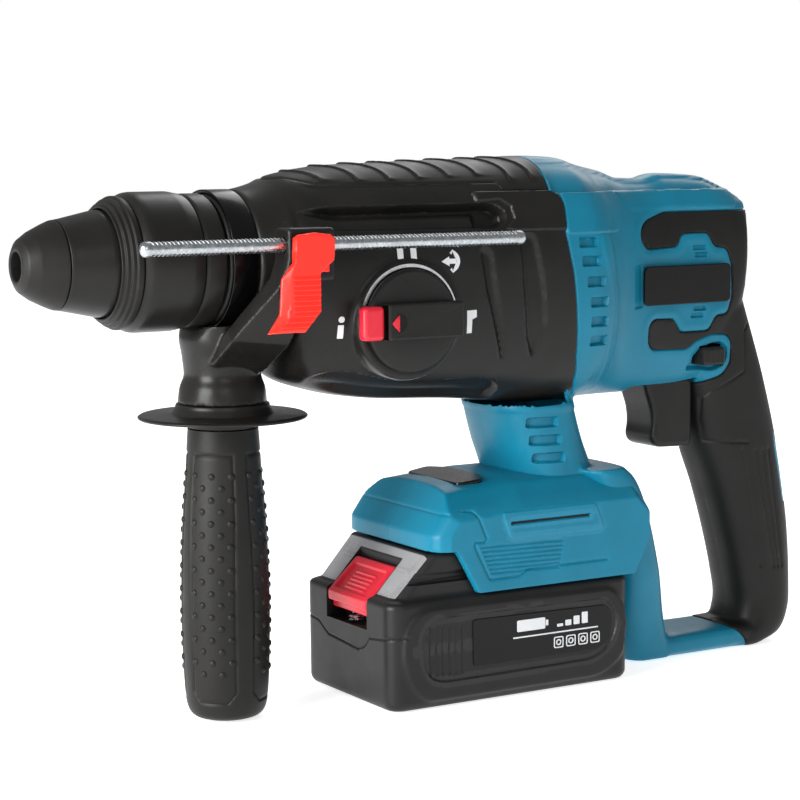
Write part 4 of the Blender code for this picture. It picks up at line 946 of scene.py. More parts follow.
# y, front x, top z of the base's slices
BASE_SLICES = [(-37.5, 136.0, -104.5), (-35.5, 131.6, -102.4), (-31.0, 129.4, -98.6), (-25.0, 128.8, -94.4),
               (-12.0, 128.8, -92.6), (0.0, 128.8, -92.3), (12.0, 128.8, -92.6), (25.0, 128.8, -94.4),
               (31.0, 129.4, -98.6), (35.5, 131.6, -102.4), (37.5, 136.0, -104.5)]
NOSE_TOP_Z, NOSE_SLOPE, CEILING_Z = -112.7, 0.732, -119.6
BASE_PANEL = [(161.2, -105.2), (206.0, -105.0), (207.3, -105.8), (211.3, -114.9), (210.1, -116.2),
              (165.4, -115.8), (164.2, -115.0), (160.8, -106.2)]
BASE_SLOT = (164.6, 204.4, -110.5, -109.2)
BASE_STEP = [(134.8, -104.4), (138.4, -102.4), (147.6, -103.6), (149.0, -105.6), (153.1, -115.1),
             (152.1, -116.5), (147.7, -116.1), (147.2, -117.5), (154.3, -131.7), (155.8, -132.2),
             (168.9, -132.0), (173.8, -129.6), (213.3, -129.5)]
BASE_RIBS, RIB_TOP_Z, RIB_PITCH = 7, -118.4, 1.85
NOSE_LINE_Z = -104.4                           # the part line across the front slope
TOP_FALL = 2.6                               # how much lower the base's top is at its front


def base_ring(y, front, top):
    """The base's side outline at one place across its width."""
    fore = top - TOP_FALL
    slope_x = front + (fore - NOSE_TOP_Z) * NOSE_SLOPE
    return np.array([(x, y, z) for x, z in (
        (front, NOSE_TOP_Z), (front, -119.2), (138.6, -119.2), (141.0, -122.6), (149.4, -137.4),
        (228.0, -137.4), (236.0, -122.0), (236.0, top - 7.0), (229.0, top), (172.0, top), (slope_x, fore))])


def make_base():
    at = np.linspace(-37.5, 37.5, 121)
    rings = [base_ring(y, front, top) for y, front, top in zip(at, *columns(BASE_SLICES, at))]
    bay = [(-33.6, -140.0), (-33.6, CEILING_Z), (33.6, CEILING_Z), (33.6, -140.0)]
    shape = carved(grid(rings), [plate(bay, [(118.0, 0.0), (229.0, 0.0)], "X")])
    v, f = fused([shape], 0.85, 2)

    def ribs(x, z):
        out = np.full(x.shape, 9.0)
        for i in range(BASE_RIBS):
            level = RIB_TOP_Z - RIB_PITCH * i
            line = [(150.4 + 0.8 * i, level), (190.5 - 0.3 * i, level - 0.8)]
            out = np.minimum(out, line_distance(x, z, line))
        return out

    def detail(p):
        x, z = p[:, 0], p[:, 2]
        best = np.minimum(np.abs(inside_distance(x, z, BASE_PANEL)), line_distance(x, z, BASE_STEP))
        best = np.minimum(best, np.minimum(ribs(x, z), np.abs(in_box(x, z, BASE_SLOT))))
        return np.where((best < 0.9) & (np.abs(p[:, 1]) > 34.0), 0.5, 3.0)

    v, f = refined(v, f, detail)
    n = normals(v, f)
    x, y, z = v.T
    side = smooth((np.abs(n[:, 1]) - 0.4) / 0.3) * (np.abs(y) > 34.0)
    lift = side * 0.45 * step(inside_distance(x, z, rounded(BASE_PANEL)), 0.7)
    lift -= side * 1.2 * step(in_slot(x, z, BASE_SLOT, 0.4), 0.5)
    lift -= side * 0.6 * groove(line_distance(x, z, BASE_STEP), 0.45)
    lift -= side * 0.45 * groove(ribs(x, z), 0.42)
    lift -= 0.4 * groove(y, 0.35) * step(146.0 - x, 4.0)
    lift -= 0.5 * groove(z - NOSE_LINE_Z, 0.4) * step(137.0 - x, 2.0) * step(36.5 - np.abs(y), 1.0)
    piece("base_shell", (v + n * lift[:, None], f), "blue_plastic", "root", ("body_left", "body_right"))


def make_slot_painted_shade():
    """Dark sheets inside the slots of the base: painted shade standing for the shadow in the slots."""
    x0, x1, z0, z1 = BASE_SLOT
    parts = [block((x0 + 0.2, low, z0 + 0.1), (x1 - 0.2, high, z1 - 0.1), 0.4, 0.1)
             for low, high in both_sides(36.0, 36.95)]
    piece("slot_painted_shade_floors", joined(parts), "slot_painted_shade", "root")


# ---------------------------------------------------------------- chuck

def make_chuck():
    """The rotating rings round the barrel: name, profile of (x, radius), corner, slot, body."""
    rings = [
        ("nose_cap", [(-16.8, 9.4), (-16.8, 17.1), (-17.8, 16.9), (-21.0, 15.6), (-26.4, 13.0),
                      (-30.4, 10.2), (-32.0, 7.2), (-32.0, 5.6), (-27.4, 5.6), (-27.4, 9.4), (-16.8, 9.4)],
         0.5, "black_rubber", "spindle"),
        ("release_sleeve", [(-6.0, 12.0), (-16.4, 12.0), (-16.4, 17.1), (-14.0, 17.5), (-0.4, 20.4),
                            (4.0, 20.4), (4.0, 18.4), (-6.0, 16.4), (-6.0, 12.0)],
         0.5, "black_plastic", "release_sleeve"),
        ("collar_front_ring", [(9.0, 21.0), (1.5, 21.0), (1.5, 22.0), (2.9, 22.0), (3.1, 23.4), (4.7, 23.4),
                               (4.9, 24.7), (6.5, 24.7), (6.7, 25.6), (9.0, 25.6), (9.0, 21.0)],
         0.35, "black_rubber", "spindle"),
        ("collar", [(34.4, 20.0), (9.3, 21.0), (9.3, 24.8), (12.2, 26.7), (14.6, 27.0), (29.2, 27.0),
                    (34.4, 26.0), (34.4, 20.0)],
         0.8, "black_plastic", "spindle"),
        ("collar_rear_ring", [(43.8, 20.2), (34.7, 20.2), (34.7, 25.5), (36.0, 26.0), (42.9, 26.0),
                              (43.8, 25.2), (43.8, 20.2)],
         0.4, "black_plastic", "spindle")]
    for node, profile, corner, slot, body in rings:
        piece(node + "_skin", spun(profile, count=128, radius=corner), slot, body, (node,))


# ---------------------------------------------------------------- side handle

def make_side_handle():
    band = [(56.0, 26.1), (45.4, 26.1), (45.4, 27.4), (56.0, 27.4), (56.0, 26.1)]
    piece("clamp_band_skin", spun(band, count=128, radius=0.3), "gloss_black", "side_handle",
          ("clamp_band",))
    neck = [(-25.0, 39.0, 56.4, 17.0, 2.4), (-31.0, 36.8, 69.6, 16.8, 2.3), (-38.0, 37.6, 68.6, 15.6, 2.2),
            (-45.0, 38.2, 68.0, 15.0, 2.2), (-50.0, 36.6, 69.4, 16.8, 2.2), (-56.0, 35.4, 70.4, 18.0, 2.0)]
    arm = [[(42.0, -6.0, -40.0), (64.0, -6.0, -44.0), (64.0, -14.0, -44.0), (42.0, -14.0, -40.0)],
           [(46.0, -19.0, -26.0), (67.0, -22.0, -32.0), (67.0, -31.0, -32.0), (44.0, -27.0, -30.0)],
           [(55.0, -36.5, -6.0), (69.0, -36.5, -8.0), (69.0, -44.0, -10.0), (55.0, -44.0, -10.0)],
           [(57.6, -36.5, 2.0), (68.0, -36.5, 2.0), (68.0, -48.4, 2.0), (57.6, -48.4, 2.0)]]
    rod_block = block((57.6, -48.4, -7.0), (77.4, -36.4, 13.4), 1.6, 0.8, "X")
    v, f = fused([loft_z(neck, 1.0), grid(arm), rod_block], 0.7, 3)
    window = block((62.0, -52.0, -3.6), (74.0, -30.0, 10.8), 0.6, 0.3)
    hole = plate(circle_loop(ROD_R + 0.3, 40, (ROD_Y, ROD_Z)), [(40.0, 0.0), (100.0, 0.0)], "X")
    room = plate(circle_loop(27.8, 96, (0.0, 0.0)), [(30.0, 0.0), (57.2, 0.0)], "X")
    clear = loft_x([(x, top + 1.6, bottom - 1.6, half + 1.6, power)
                    for x, top, bottom, half, power in HOUSING_SECTIONS[:6]], 1.0)
    v, f = carved((v, f), [window, hole, room, clear])
    piece("handle_bracket_skin", (v, f), "black_plastic", "side_handle", ("handle_bracket",))

    centre = (HANDLE_X, 0.0, 0.0)
    guard = [(-66.0, 4.6), (-56.4, 4.6), (-56.4, 18.4), (-57.8, 18.8), (-60.4, 20.4), (-60.8, 32.6),
             (-61.6, 33.7), (-62.4, 33.2), (-62.6, 14.4), (-66.0, 13.8), (-66.0, 4.6)]
    piece("handle_guard_skin", spun(guard, "Z", centre, 128, 0.4), "black_plastic", "side_grip",
          ("handle_guard",))
    make_handle_grip(centre)


GRIP_PROFILE = [(-66.4, 14.0), (-72.0, 14.4), (-84.0, 15.1), (-98.0, 16.2), (-114.0, 17.1), (-138.0, 17.6),
                (-160.0, 17.2), (-174.0, 16.4), (-178.5, 15.4), (-181.1, 13.6), (-182.1, 11.0)]
DOT_RADIUS, DOT_HEIGHT, DOT_ROOT = 1.45, 0.95, 0.25
DOT_PITCH, DOT_FIRST_Z, DOT_LAST_Z = 9.2, -84.0, -166.0


def make_handle_grip(centre):
    at = np.linspace(-182.1, -66.4, 160)
    radius = columns([(z, r) for z, r in GRIP_PROFILE], at)[0]
    count = 220
    turn = np.linspace(0.0, math.tau, count, endpoint=False)
    zz, tt = np.meshgrid(at, turn, indexing="ij")
    rr = np.repeat(radius[:, None], count, axis=1)
    panel_turn = (tt * 4.0 / math.tau) % 1.0 - 0.5            # four panels round the grip
    arc = panel_turn * math.tau / 4.0 * rr
    half = np.interp(zz, [-176.0, -170.0, -100.0, -78.0], [4.0, 9.4, 9.6, 8.4])
    gap = np.minimum(half - np.abs(arc), np.minimum(zz + 174.0, -76.0 - zz))
    rr = rr - 0.55 * groove(gap, 0.55)
    x = centre[0] + rr * np.cos(tt)
    y = rr * np.sin(tt)
    rings = [np.stack([x[i], y[i], zz[i]], 1) for i in range(len(at))]
    parts = [grid(rings)]
    for panel in range(4):
        middle = math.tau * (panel + 0.5) / 4.0
        for column in range(-2, 3):
            z = DOT_FIRST_Z - (DOT_PITCH / 2.0 if column % 2 else 0.0)
            while z > DOT_LAST_Z:
                reach = float(np.interp(z, at, radius))
                parts.append(dot(centre[0], middle + column * 3.9 / reach, reach, z))
                z -= DOT_PITCH
    piece("handle_grip_skin", joined(parts), "black_rubber", "side_grip", ("handle_grip",))


def dot(axis_x, turn, reach, z):
    """A low raised dot on the grip."""
    rings = []
    count = 12
    for k in range(5):
        tilt = math.pi / 2.0 * k / 4.0
        spread, height = DOT_RADIUS * math.cos(tilt) + 0.02, DOT_HEIGHT * math.sin(tilt)
        ring = []
        for i in range(count):
            a = math.tau * i / count
            across, up = spread * math.cos(a), spread * math.sin(a)
            angle = turn + across / reach
            out = reach - DOT_ROOT + height
            ring.append((axis_x + out * math.cos(angle), out * math.sin(angle), z + up))
        rings.append(ring)
    return grid(rings)


def make_depth_stop():
    rear = ROD_FRONT_X + ROD_LENGTH
    at = np.concatenate([ROD_FRONT_X + 2.4 * (1 - np.cos(np.linspace(0.15, math.pi / 2, 6))),
                         np.arange(ROD_FRONT_X + 2.8, rear - 2.6, 0.3),
                         rear - 2.4 * (1 - np.cos(np.linspace(math.pi / 2, 0.15, 6)))])
    count = 48
    turn = np.linspace(0.0, math.tau, count, endpoint=False)
    rings = []
    for x in at:
        end = min(x - ROD_FRONT_X, rear - x)
        radius = ROD_R * math.sqrt(max(0.02, 1.0 - max(0.0, 1.0 - end / 2.4) ** 2))
        tooth = abs(((x - ROD_FRONT_X) / 1.7) % 1.0 - 0.5) * 2.0
        top = np.clip((np.sin(turn) - 0.45) / 0.3, 0.0, 1.0)
        low = np.clip((-np.sin(turn) - 0.6) / 0.3, 0.0, 1.0)
        cut = 0.45 * tooth * (top + 0.8 * low) * (1.0 if end > 4.0 else 0.0)
        reach = radius - cut
        y, z = ROD_Y + reach * np.cos(turn), ROD_Z + reach * np.sin(turn)
        rings.append(np.stack([np.full(count, x), y, z], 1))
    piece("depth_rod_skin", grid(rings), "zinc_steel", "depth_rod", ("depth_rod",), sharp=50.0)

    make_lever()


# (x, z) of the red lever's front face, and of its back, which reaches further forward
LEVER_FACE = [(57.8, 9.8), (59.6, 11.1), (66.3, 11.8), (72.6, 11.0), (74.5, 9.4), (74.1, 1.4), (68.2, -3.5),
              (68.2, -17.9), (61.3, -25.5), (49.1, -25.2), (56.0, -18.8), (55.8, -4.0), (57.4, 0.6)]
LEVER_BACK = LEVER_FACE[:9] + [(46.6, -25.7), (51.8, -18.9), (52.7, -5.4), (57.4, 0.4)]
LEVER_INNER_Y, LEVER_OUTER_Y, LEVER_RIB_PITCH = -50.7, -53.95, 1.95


def make_lever():
    levels = ((LEVER_INNER_Y, LEVER_BACK), (-51.6, LEVER_BACK), (LEVER_OUTER_Y, LEVER_FACE))
    rings = [np.array([(x, y, z) for x, z in loop]) for y, loop in levels]
    v, f = fused([grid(rings)], 0.36, 1)
    n = normals(v, f)
    facing = smooth((-n[:, 1] - 0.8) / 0.15) * step(-4.6 - v[:, 2], 0.4) * step(v[:, 2] + 24.6, 0.4)
    left = np.interp(v[:, 2], [-25.0, -18.8, -4.0], [49.6, 56.6, 56.4])
    facing *= step(v[:, 0] - left, 0.5)
    wave = (v[:, 2] / LEVER_RIB_PITCH) % 1.0
    v = v + n * (0.34 * facing * (1.0 - wave))[:, None]
    link = block((62.6, LEVER_INNER_Y - 0.8, -3.2), (73.2, -39.4, 3.4), 0.4, 0.3)
    piece("depth_button_skin", joined([(v, f), link]), "red_plastic", "depth_button",
          ("depth_button",))


# ---------------------------------------------------------------- mode dial

def circle_loop(radius, count=72, centre=(DIAL_X, DIAL_Z), start=0.0, end=1.0):
    """Points round a circle, or along an arc from start to end in turns."""
    turn = math.tau * np.linspace(start, end, count, endpoint=end - start < 1.0)
    return [(centre[0] + radius * math.cos(t), centre[1] + radius * math.sin(t)) for t in turn]


DIAL_FACE_Y = -38.3                          # the dial's disc starts here and stands out by 3 mm


def make_dial():
    face, rim = DIAL_FACE_Y, DIAL_FACE_Y - 3.0
    disc = spun([(-29.0, 0.0), (-29.0, 5.6), (face, 5.6), (face, DISC_R), (face - 2.0, DISC_R),
                 (rim, DISC_R - 1.0), (rim, 0.0)], "Y", (DIAL_X, 0.0, DIAL_Z), 128, 0.4)
    bar = plate(soft_box(101.4, 135.6, -31.2, -17.0, 1.2), bevelled(-48.2, face - 2.4, 0.9))
    button_gap = block((99.0, -47.0, -31.0), (104.9, -42.0, -17.5), 0.4, 0.2)
    piece("mode_dial_skin", joined([disc, carved(bar, [button_gap])]), "black_plastic", "mode_dial",
          ("mode_dial",))
    # a near-black plate just proud of the bar round the pointer: painted shade standing for the shadow in
    # the pointer's recess
    recess = [(104.6, -28.3), *circle_loop(3.9, 24, (105.4, -24.4), 0.75, 1.25), (104.6, -20.5)]
    piece("dial_pointer_painted_shade", plate(recess, [(-48.26, 0.0), (-47.6, 0.0)]), "gloss_black", "mode_dial")
    pointer = rounded([(102.4, -24.5), (105.8, -21.2), (105.8, -28.0)], 0.6)
    piece("dial_pointer", plate(pointer, bevelled(-48.6, -47.6, 0.25)), "crimson_plastic", "mode_dial")
    knob = [(-42.3, 0.3), (-42.6, 0.0), (-45.4, 0.0), (-46.0, 0.35), (-46.4, 0.8), (-46.7, 1.6)]
    loop = soft_box(91.0, 100.4, -31.0, -17.8, 1.9)
    piece("dial_lock_button_skin", plate(loop, knob), "crimson_plastic", "dial_lock_button",
          ("dial_lock_button",))


# ---------------------------------------------------------------- battery

NOTCH_HALF = 16.6                            # half the width of the button's opening
SIDE_PANEL = [(132.5, -140.9), (121.7, -141.6), (114.4, -148.1), (113.2, -161.1), (117.2, -172.9),
              (124.1, -179.3), (210.6, -179.0), (222.5, -172.0), (224.5, -154.1), (217.1, -142.0)]
RECESS = [(132.5, -145.4), (126.0, -146.6), (121.8, -151.8), (122.9, -164.1), (126.2, -170.1),
          (132.8, -171.9), (206.0, -171.4), (213.6, -168.0), (218.2, -161.3), (218.6, -153.3),
          (213.4, -146.2)]
RECESS_DEPTH = 1.0
# y and z of the line between the two battery shells, across the front
PART_LINE = [(-37.0, -152.0), (-31.5, -152.8), (-18.7, -154.4), (-15.0, -158.4), (-9.4, -160.5),
             (15.7, -158.7), (23.7, -154.3), (30.7, -153.6), (37.0, -152.6)]
SLOPE_FOOT, SLOPE_TOP = (112.2, -137.4), (128.6, BATTERY_TOP_Z)


def make_battery():
    half, front, rear = BATTERY_HALF_WIDTH, BATTERY_FRONT_X, BATTERY_REAR_X
    # height, half width, front x, rear x, corner
    levels = [(FLOOR_Z, half - 2.4, front + 2.6, rear - 2.4, 5.0),
              (FLOOR_Z + 1.0, half - 0.9, front + 1.0, rear - 0.8, 6.0),
              (FLOOR_Z + 3.0, half, front + 0.3, rear, 6.5),
              (BATTERY_SHOULDER_Z, half, front, rear, 6.5),
              (BATTERY_SHOULDER_Z + 1.2, half - 1.0, front + 0.9, rear - 0.6, 6.0),
              (BATTERY_SHOULDER_Z + 2.1, 33.0, front + 4.0, rear - 0.8, 6.0),
              (BATTERY_TOP_Z, 33.0, SLOPE_TOP[0], rear - 0.8, 4.0)]
    rings = [np.array([(x, y, z) for x, y in soft_box(x0, x1, -wide, wide, corner, 6)])
             for z, wide, x0, x1, corner in levels]
    outline = rounded(SIDE_PANEL, 5.0)
    low, high = half - 2.0, PANEL_Y
    panels = [plate(outline, [(-high, 0.6), (0.7 - high, 0.0), (-low - 0.7, 0.0), (-low, 0.0)]),
              plate(outline, [(low, 0.0), (low + 0.7, 0.0), (high - 0.7, 0.0), (high, 0.6)])]
    shape = fused([grid(rings), *panels], 0.85, 3)
    notch = soft_box(102.0, 118.4, -NOTCH_HALF, NOTCH_HALF, 2.0)
    tools = [plate(notch, [(-151.4, 0.0), (-118.0, 0.0)], "Z"),
             block((117.0, -NOTCH_HALF, -139.4), (124.8, NOTCH_HALF, -117.0), 0.5, 0.2)]
    tools += [block((100.0, y0, -132.0), (230.0, y1, -127.2), 0.3, 0.1) for y0, y1 in both_sides(30.6, 36.0)]
    v, f = carved(shape, tools)

    run = np.subtract(SLOPE_TOP, SLOPE_FOOT)
    run = run / np.linalg.norm(run)

    def split_gap(p):
        return p[:, 2] - np.interp(p[:, 1], *np.array(PART_LINE).T)

    def slope_gap(p):
        """Above zero on the sloping face under the base, beside the button."""
        off = np.abs((p[:, 0] - SLOPE_FOOT[0]) * run[1] - (p[:, 2] - SLOPE_FOOT[1]) * run[0])
        beside_button = np.maximum(np.abs(p[:, 1]) - NOTCH_HALF - 0.5, p[:, 0] - 125.3)
        best = np.minimum(0.7 - off, np.minimum(p[:, 2] + 136.8, 31.8 - np.abs(p[:, 1])))
        return np.minimum(best, np.minimum(127.9 - p[:, 0], beside_button))

    def detail(p):
        x, z = p[:, 0], p[:, 2]
        best = np.minimum(np.abs(inside_distance(x, z, rounded(RECESS, 4.0))), np.abs(z - BATTERY_SPLIT_Z))
        best = np.where(np.abs(p[:, 1]) > 30.0, best, 9.0)
        best = np.minimum(best, np.where(x < 118.0, np.abs(split_gap(p)), 9.0))
        best = np.minimum(best, np.where(np.abs(slope_gap(p)) < 3.0, np.abs(slope_gap(p)), 9.0))
        return np.where(best < 1.2, 0.5, 3.0)

    v, f = refined(v, f, detail)
    n = normals(v, f)
    x, y, z = v.T
    side = smooth((np.abs(n[:, 1]) - 0.4) / 0.3)
    lift = -side * RECESS_DEPTH * step(inside_distance(x, z, rounded(RECESS, 4.0)), 0.7)
    lift -= 0.5 * groove(split_gap(v), 0.4) * step(115.6 - x, 1.0)
    for i in range(6):
        at = 125.6 + 3.1 * i
        rib = in_slot(x, z, (at, at + 0.9, -169.0, -148.4), 0.4)
        lift -= side * 0.45 * step(rib, 0.6)
    v = v + n * lift[:, None]
    low_v, low_f = clipped(v, f, -split_gap(v))
    top_v, top_f = clipped(v, f, split_gap(v))
    # the sloping face beside the button is cut out and painted light grey: a painted highlight for the light
    # from the left, on plastic as black as the rest
    slope = slope_gap(top_v)
    piece("battery_slope_painted_highlight", clipped(top_v, top_f, slope), "slope_painted_highlight", "battery")
    top_v, top_f = clipped(top_v, top_f, -slope)
    piece("battery_lower_skin", (low_v, low_f), "battery_plastic", "battery", ("battery_lower_case",))
    piece("battery_upper_skin", (top_v, top_f), "battery_plastic", "battery", ("battery_upper_case",))
    make_battery_button()
    make_label()


def make_battery_button():
    outline = [(108.4, -144.0), (108.4, -139.8), (122.0, -127.2), (123.6, -127.2), (123.6, -129.6),
               (117.2, -136.0), (117.2, -144.0)]
    v, f = fused([plate(outline, bevelled(-16.2, 16.2, 1.0))], 0.42, 2)
    n = normals(v, f)
    x, y, z = v.T
    slope = smooth((n[:, 2] - 0.3) / 0.3) * smooth((-n[:, 0] - 0.3) / 0.3)
    dish = step(12.6 - np.abs(y), 1.0) * step(z + 138.2, 0.8) * step(-129.2 - z, 0.8)
    lift = -slope * 1.1 * dish
    pad = step(8.0 - np.abs(y), 1.0)
    for i in range(5):
        lift += slope * dish * pad * 0.8 * groove(z + 136.9 - 1.35 * i, 0.36)
    piece("battery_button_skin", (v + n * lift[:, None], f), "crimson_plastic", "battery_button",
          ("battery_button",))
    foot = block((110.6, -15.4, -147.0), (117.2, 15.4, -143.4), 0.8, 0.4)
    piece("battery_button_foot", foot, "crimson_plastic", "battery_button")


LABEL = [(146.4, -147.9), (212.6, -149.0), (215.6, -151.4), (216.4, -157.0), (215.2, -164.0),
         (209.3, -167.3), (146.7, -167.4)]
LABEL_Y, MARK_Y, MARK_BACK_Y = -36.95, -37.1, -36.9


def make_label():
    """The battery's label with generic marks: a line, four squares, a battery and four bars."""
    piece("battery_label_skin", plate(rounded(LABEL), bevelled(LABEL_Y, -36.2, 0.15)), "gloss_black",
          "battery", ("battery_label",))

    def bar(x0, x1, z0, z1, corner):
        return block((x0, MARK_Y, z0), (x1, MARK_BACK_Y, z1), corner, 0.05)

    marks = [bar(166.0, 209.0, -158.2, -157.6, 0.25)]
    for i in range(4):
        x = 186.4 + 6.2 * i
        middle = (x + 2.4, -162.2)
        square = (soft_box(x, x + 4.8, -164.6, -159.8, 0.8),
                  soft_box(x + 0.45, x + 4.35, -164.15, -160.25, 0.5))
        circle = (circle_loop(1.3, 24, middle), circle_loop(0.8, 24, middle))
        marks += [hoop(*square, MARK_Y, MARK_BACK_Y), hoop(*circle, MARK_Y, MARK_BACK_Y)]
    marks += [bar(168.0, 182.0, -155.6, -150.8, 0.6), bar(182.3, 183.5, -154.4, -152.0, 0.3)]
    marks += [bar(188.0 + 4.2 * i, 191.0 + 4.2 * i, -155.6, -154.4 + 1.2 * i, 0.3) for i in range(4)]
    piece("battery_label_marks", joined(marks), "print_grey", "battery")


def hoop(outer, inner, low, high):
    """A flat ring between two outlines with the same number of points."""
    outer, inner = np.array(outer), np.array(inner)
    rings = []
    for loop, y in ((outer, low), (outer, high), (inner, high), (inner, low), (outer, low)):
        rings.append(np.stack([loop[:, 0], np.full(len(loop), y), loop[:, 1]], 1))
    return grid(rings, caps=False)


# ---------------------------------------------------------------- trigger, lever and trim

TRIGGER = [(252.6, -58.0), (254.6, -65.0), (257.4, -72.0), (258.0, -79.0), (257.0, -84.4), (258.2, -87.4),
           (261.4, -89.0), (279.4, -89.6), (279.4, -58.0)]


def make_controls():
    piece("trigger_skin", fused([plate(rounded(TRIGGER, 3.5), bevelled(-10.8, 10.8, 2.0))], 0.6, 4),
          "black_plastic", "trigger", ("trigger",))
    lever = [block((277.0, -21.0, -53.0), (289.4, 21.0, -45.0), 1.4, 1.2)]
    for low, high in both_sides(20.4, 21.1):
        for x in (280.0, 282.6, 285.2):
            lever.append(block((x, low, -51.8), (x + 1.2, high, -46.2), 0.4, 0.2))
    piece("direction_lever_skin", joined(lever), "black_plastic", "direction_lever", ("direction_lever",))


def turned_plate(loop, levels, pivot, angle):
    """A plate turned about an upright axis and moved to its pivot."""
    v, f = plate(loop, levels)
    c, s = math.cos(angle), math.sin(angle)
    x, y = v[:, 0] - pivot[0], v[:, 1]
    return np.stack([pivot[0] + c * x - s * y, pivot[1] + s * x + c * y, v[:, 2]], 1), f


BADGE_PIVOT, BADGE_TURN = (241.6, -26.2), 0.078      # the blank badge follows the shell's slant
PANEL_FALL = 0.11                            # slope of the display panel towards the front


def make_trim():
    badge = soft_box(240.6, 290.8, -25.0, -8.2, 2.6)
    piece("name_plate_skin", turned_plate(badge, bevelled(0.0, 1.1, 0.35), BADGE_PIVOT, BADGE_TURN),
          "gloss_black", "root", ("name_plate",))
    panel = [(149.6, -20.0), (161.0, -22.0), (165.4, -12.0), (165.4, 12.0), (161.0, 22.0), (149.6, 20.0)]
    v, f = plate(rounded(panel, 2.5), bevelled(-95.4, -93.3, 0.3), "Z")
    v = v + np.stack([np.zeros(len(v)), np.zeros(len(v)), (v[:, 0] - 157.5) * PANEL_FALL], 1)
    piece("display_panel_skin", (v, f), "gloss_black", "root", ("display_panel",))


# ---------------------------------------------------------------- printed marks on the housing

def side_y(x, z):
    """The left side surface of the housing at a point, before its relief."""
    top, bottom, half, power = columns([r for r in MAIN_SECTIONS if r[0] <= 215.0], np.array([x]))
    middle, reach = (top + bottom) / 2.0, (top - bottom) / 2.0
    share = min(abs(z - middle[0]) / reach[0], 0.999)
    return -half[0] * (1.0 - share ** power[0]) ** (1.0 / power[0])


def printed(loop, lift=0.12):
    """A thin mark that follows the housing's left side."""
    loop = np.array(loop, float)
    dense = []
    for a, b in zip(loop, np.roll(loop, -1, axis=0)):
        count = max(1, int(np.linalg.norm(b - a) / 1.5))
        dense += [a + (b - a) * i / count for i in range(count)]
    front = [(x, side_y(x, z) - lift, z) for x, z in dense]
    back = [(x, side_y(x, z) + 0.4, z) for x, z in dense]
    return grid([back, front])


# (x, z) outlines of the plain icons round the dial: an i, two strokes, a hammer and an arrow head
MARKS = [circle_loop(1.25, 14, (87.9, -23.1)),
         [(86.6, -25.3), (89.0, -25.3), (89.2, -30.6), (86.8, -30.6)],
         *([(x, 3.8), (x + 2.6, 3.8), (x + 2.8, -0.8), (x + 0.2, -0.8)] for x in (111.9, 117.9)),
         [(143.9, -21.9), (148.4, -21.7), (148.6, -24.6), (146.5, -24.8), (146.7, -31.0), (144.4, -31.1)],
         [(132.0, -1.9), (135.5, 0.0), (135.5, -0.9), (138.7, -0.9), (138.7, -2.9), (135.6, -2.9),
          (135.6, -3.8)]]
SWEEP_X, SWEEP_Z = 134.6, -1.9               # middle of the curved double arrow


def make_marks():
    bend = np.linspace(-1.1, 1.1, 12)
    arc = [(SWEEP_X + 6.0 * math.cos(t), SWEEP_Z + 5.0 * math.sin(t)) for t in bend]
    arc += [(SWEEP_X + 5.3 * math.cos(t), SWEEP_Z + 4.6 * math.sin(t)) for t in bend[::-1]]
    heads = [[(137.4, SWEEP_Z + sign * 4.7), (135.9, SWEEP_Z + sign * 3.3), (136.7, SWEEP_Z + sign * 2.7)]
             for sign in (-1, 1)]
    piece("housing_marks", joined([printed(loop) for loop in [*MARKS, arc, *heads]]), "print_grey", "root")

    count = 96
    turn = np.linspace(math.radians(196.0), math.radians(18.0), count)
    width = np.interp(np.linspace(0.0, 1.0, count), [0.0, 0.1, 0.6, 1.0], [0.8, 1.5, 1.3, 0.5])
    rounds = [np.stack([DIAL_X + r * np.cos(turn), DIAL_Z + r * np.sin(turn)], 1)
              for r in (np.full(count, ARC_R), ARC_R - width)]
    loop = np.concatenate([rounds[0], rounds[1][::-1]])
    rings = [np.stack([loop[:, 0], np.full(len(loop), y), loop[:, 1]], 1) for y in (-36.0, -38.15)]
    piece("dial_arc", grid(rings), "print_silver", "root")


# ---------------------------------------------------------------- what stays from the frame

def dress_frame():
    """Gives every CAD node that still shows the procedural material of its slot."""
    slots = {part["node"]: part["material_slot"] for part in frame["record"]["subparts"]}
    for name, made in frame["nodes"].items():
        if not made.hide_render:
            made.data.materials.clear()
            made.data.materials.append(MATERIALS[slots[name]])


# ---------------------------------------------------------------- stage

FLOOR_PALE, FLOOR_DARK = (0.90, 0.90, 0.90, 1.0), (0.86, 0.86, 0.86, 1.0)
FLOOR_GLOW, ROOM_LIGHT = 0.74, 0.34          # light given by the floor and by the room's walls
# name, place, aim, size, power
LAMPS = [("left", (-1.5, -0.3, 0.5), (0.0, 0.0, 0.08), 0.9, 40.0),
         ("front", (-0.5, -1.6, 0.9), (0.0, 0.0, 0.1), 0.8, 4.0),
         ("rear", (1.1, 1.0, 1.3), (0.05, 0.0, 0.1), 1.2, 12.0)]
CAMERA_PLACE, CAMERA_TILT = (-0.5086, -0.7922, 0.2282), (83.43, 0.35, -31.02)
CAMERA_LENS = 101.3


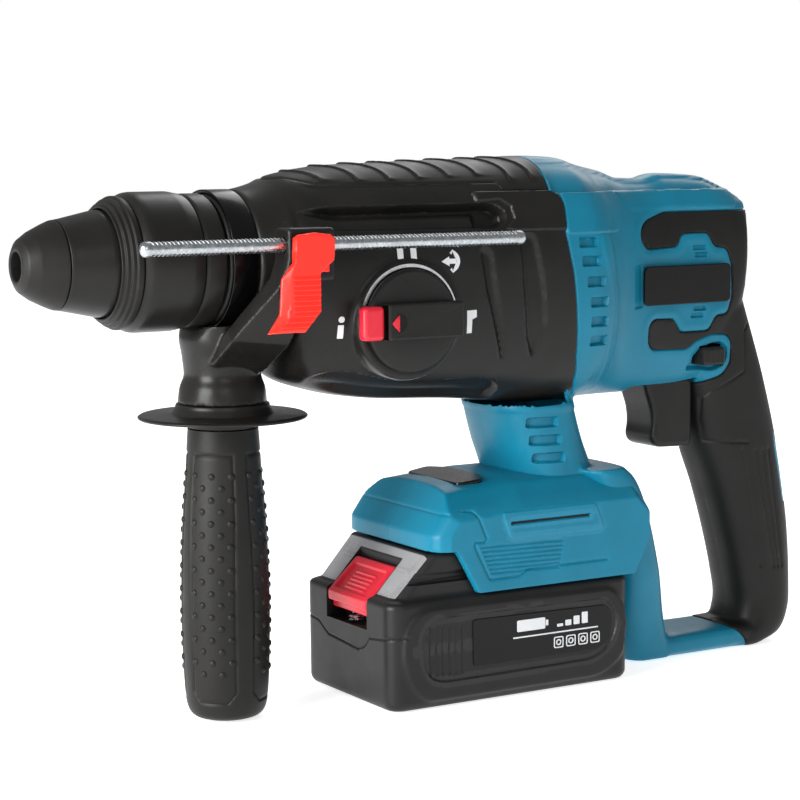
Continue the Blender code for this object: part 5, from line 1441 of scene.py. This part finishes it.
def floor_material():
    s = Shader("studio_floor")
    base = s.mixed(s.ranged(s.noise(90.0, 3.0), 0.3, 0.7, 0.0, 1.0), FLOOR_DARK, FLOOR_PALE)
    rough = s.ranged(s.noise(40.0), 0.3, 0.7, 0.7, 0.8)
    s.surface.inputs["Emission Color"].default_value = (1.0, 1.0, 1.0, 1.0)
    s.surface.inputs["Emission Strength"].default_value = FLOOR_GLOW
    return s.finish(base, rough, s.bump(s.noise(3.0), 0.1, 0.05), specular=0.2)


def make_room():
    """White walls to look at, which light the object less than they show."""
    room = bpy.data.worlds.new("studio")
    bpy.context.scene.world = room
    room.use_nodes = True
    tree = room.node_tree
    light = tree.nodes["Background"]
    light.inputs["Color"].default_value = (1.0, 1.0, 1.0, 1.0)
    light.inputs["Strength"].default_value = ROOM_LIGHT
    seen = tree.nodes.new("ShaderNodeBackground")
    seen.inputs["Color"].default_value = (1.0, 1.0, 1.0, 1.0)
    both = tree.nodes.new("ShaderNodeMixShader")
    tree.links.new(tree.nodes.new("ShaderNodeLightPath").outputs["Is Camera Ray"], both.inputs[0])
    tree.links.new(light.outputs[0], both.inputs[1])
    tree.links.new(seen.outputs[0], both.inputs[2])
    tree.links.new(both.outputs[0], tree.nodes["World Output"].inputs["Surface"])


def make_stage():
    bpy.ops.mesh.primitive_plane_add(size=8.0, location=(0.0, 0.0, -0.0005))
    floor = bpy.context.object
    floor.name = "studio_floor"
    floor.data.materials.append(floor_material())
    bpy.context.scene.view_settings.view_transform = "Standard"
    make_room()
    for name, place, aim, size, power in LAMPS:
        lamp = bpy.data.lights.new(name, "AREA")
        lamp.size, lamp.energy = size, power
        made = bpy.data.objects.new(name, lamp)
        made.location = place
        made.rotation_euler = (Vector(aim) - Vector(place)).to_track_quat("-Z", "Y").to_euler()
        bpy.context.scene.collection.objects.link(made)


def make_camera():
    lens = bpy.data.cameras.new("camera")
    lens.lens, lens.sensor_width = CAMERA_LENS, 36.0
    camera = bpy.data.objects.new("camera", lens)
    camera.location = CAMERA_PLACE
    camera.rotation_euler = [math.radians(angle) for angle in CAMERA_TILT]
    bpy.context.scene.collection.objects.link(camera)
    bpy.context.scene.camera = camera


for build in (make_camera, make_stage, make_body, make_housing, make_base, make_slot_painted_shade, make_chuck,
              make_side_handle, make_depth_stop, make_dial, make_battery, make_controls, make_trim,
              make_marks, dress_frame):
    build()
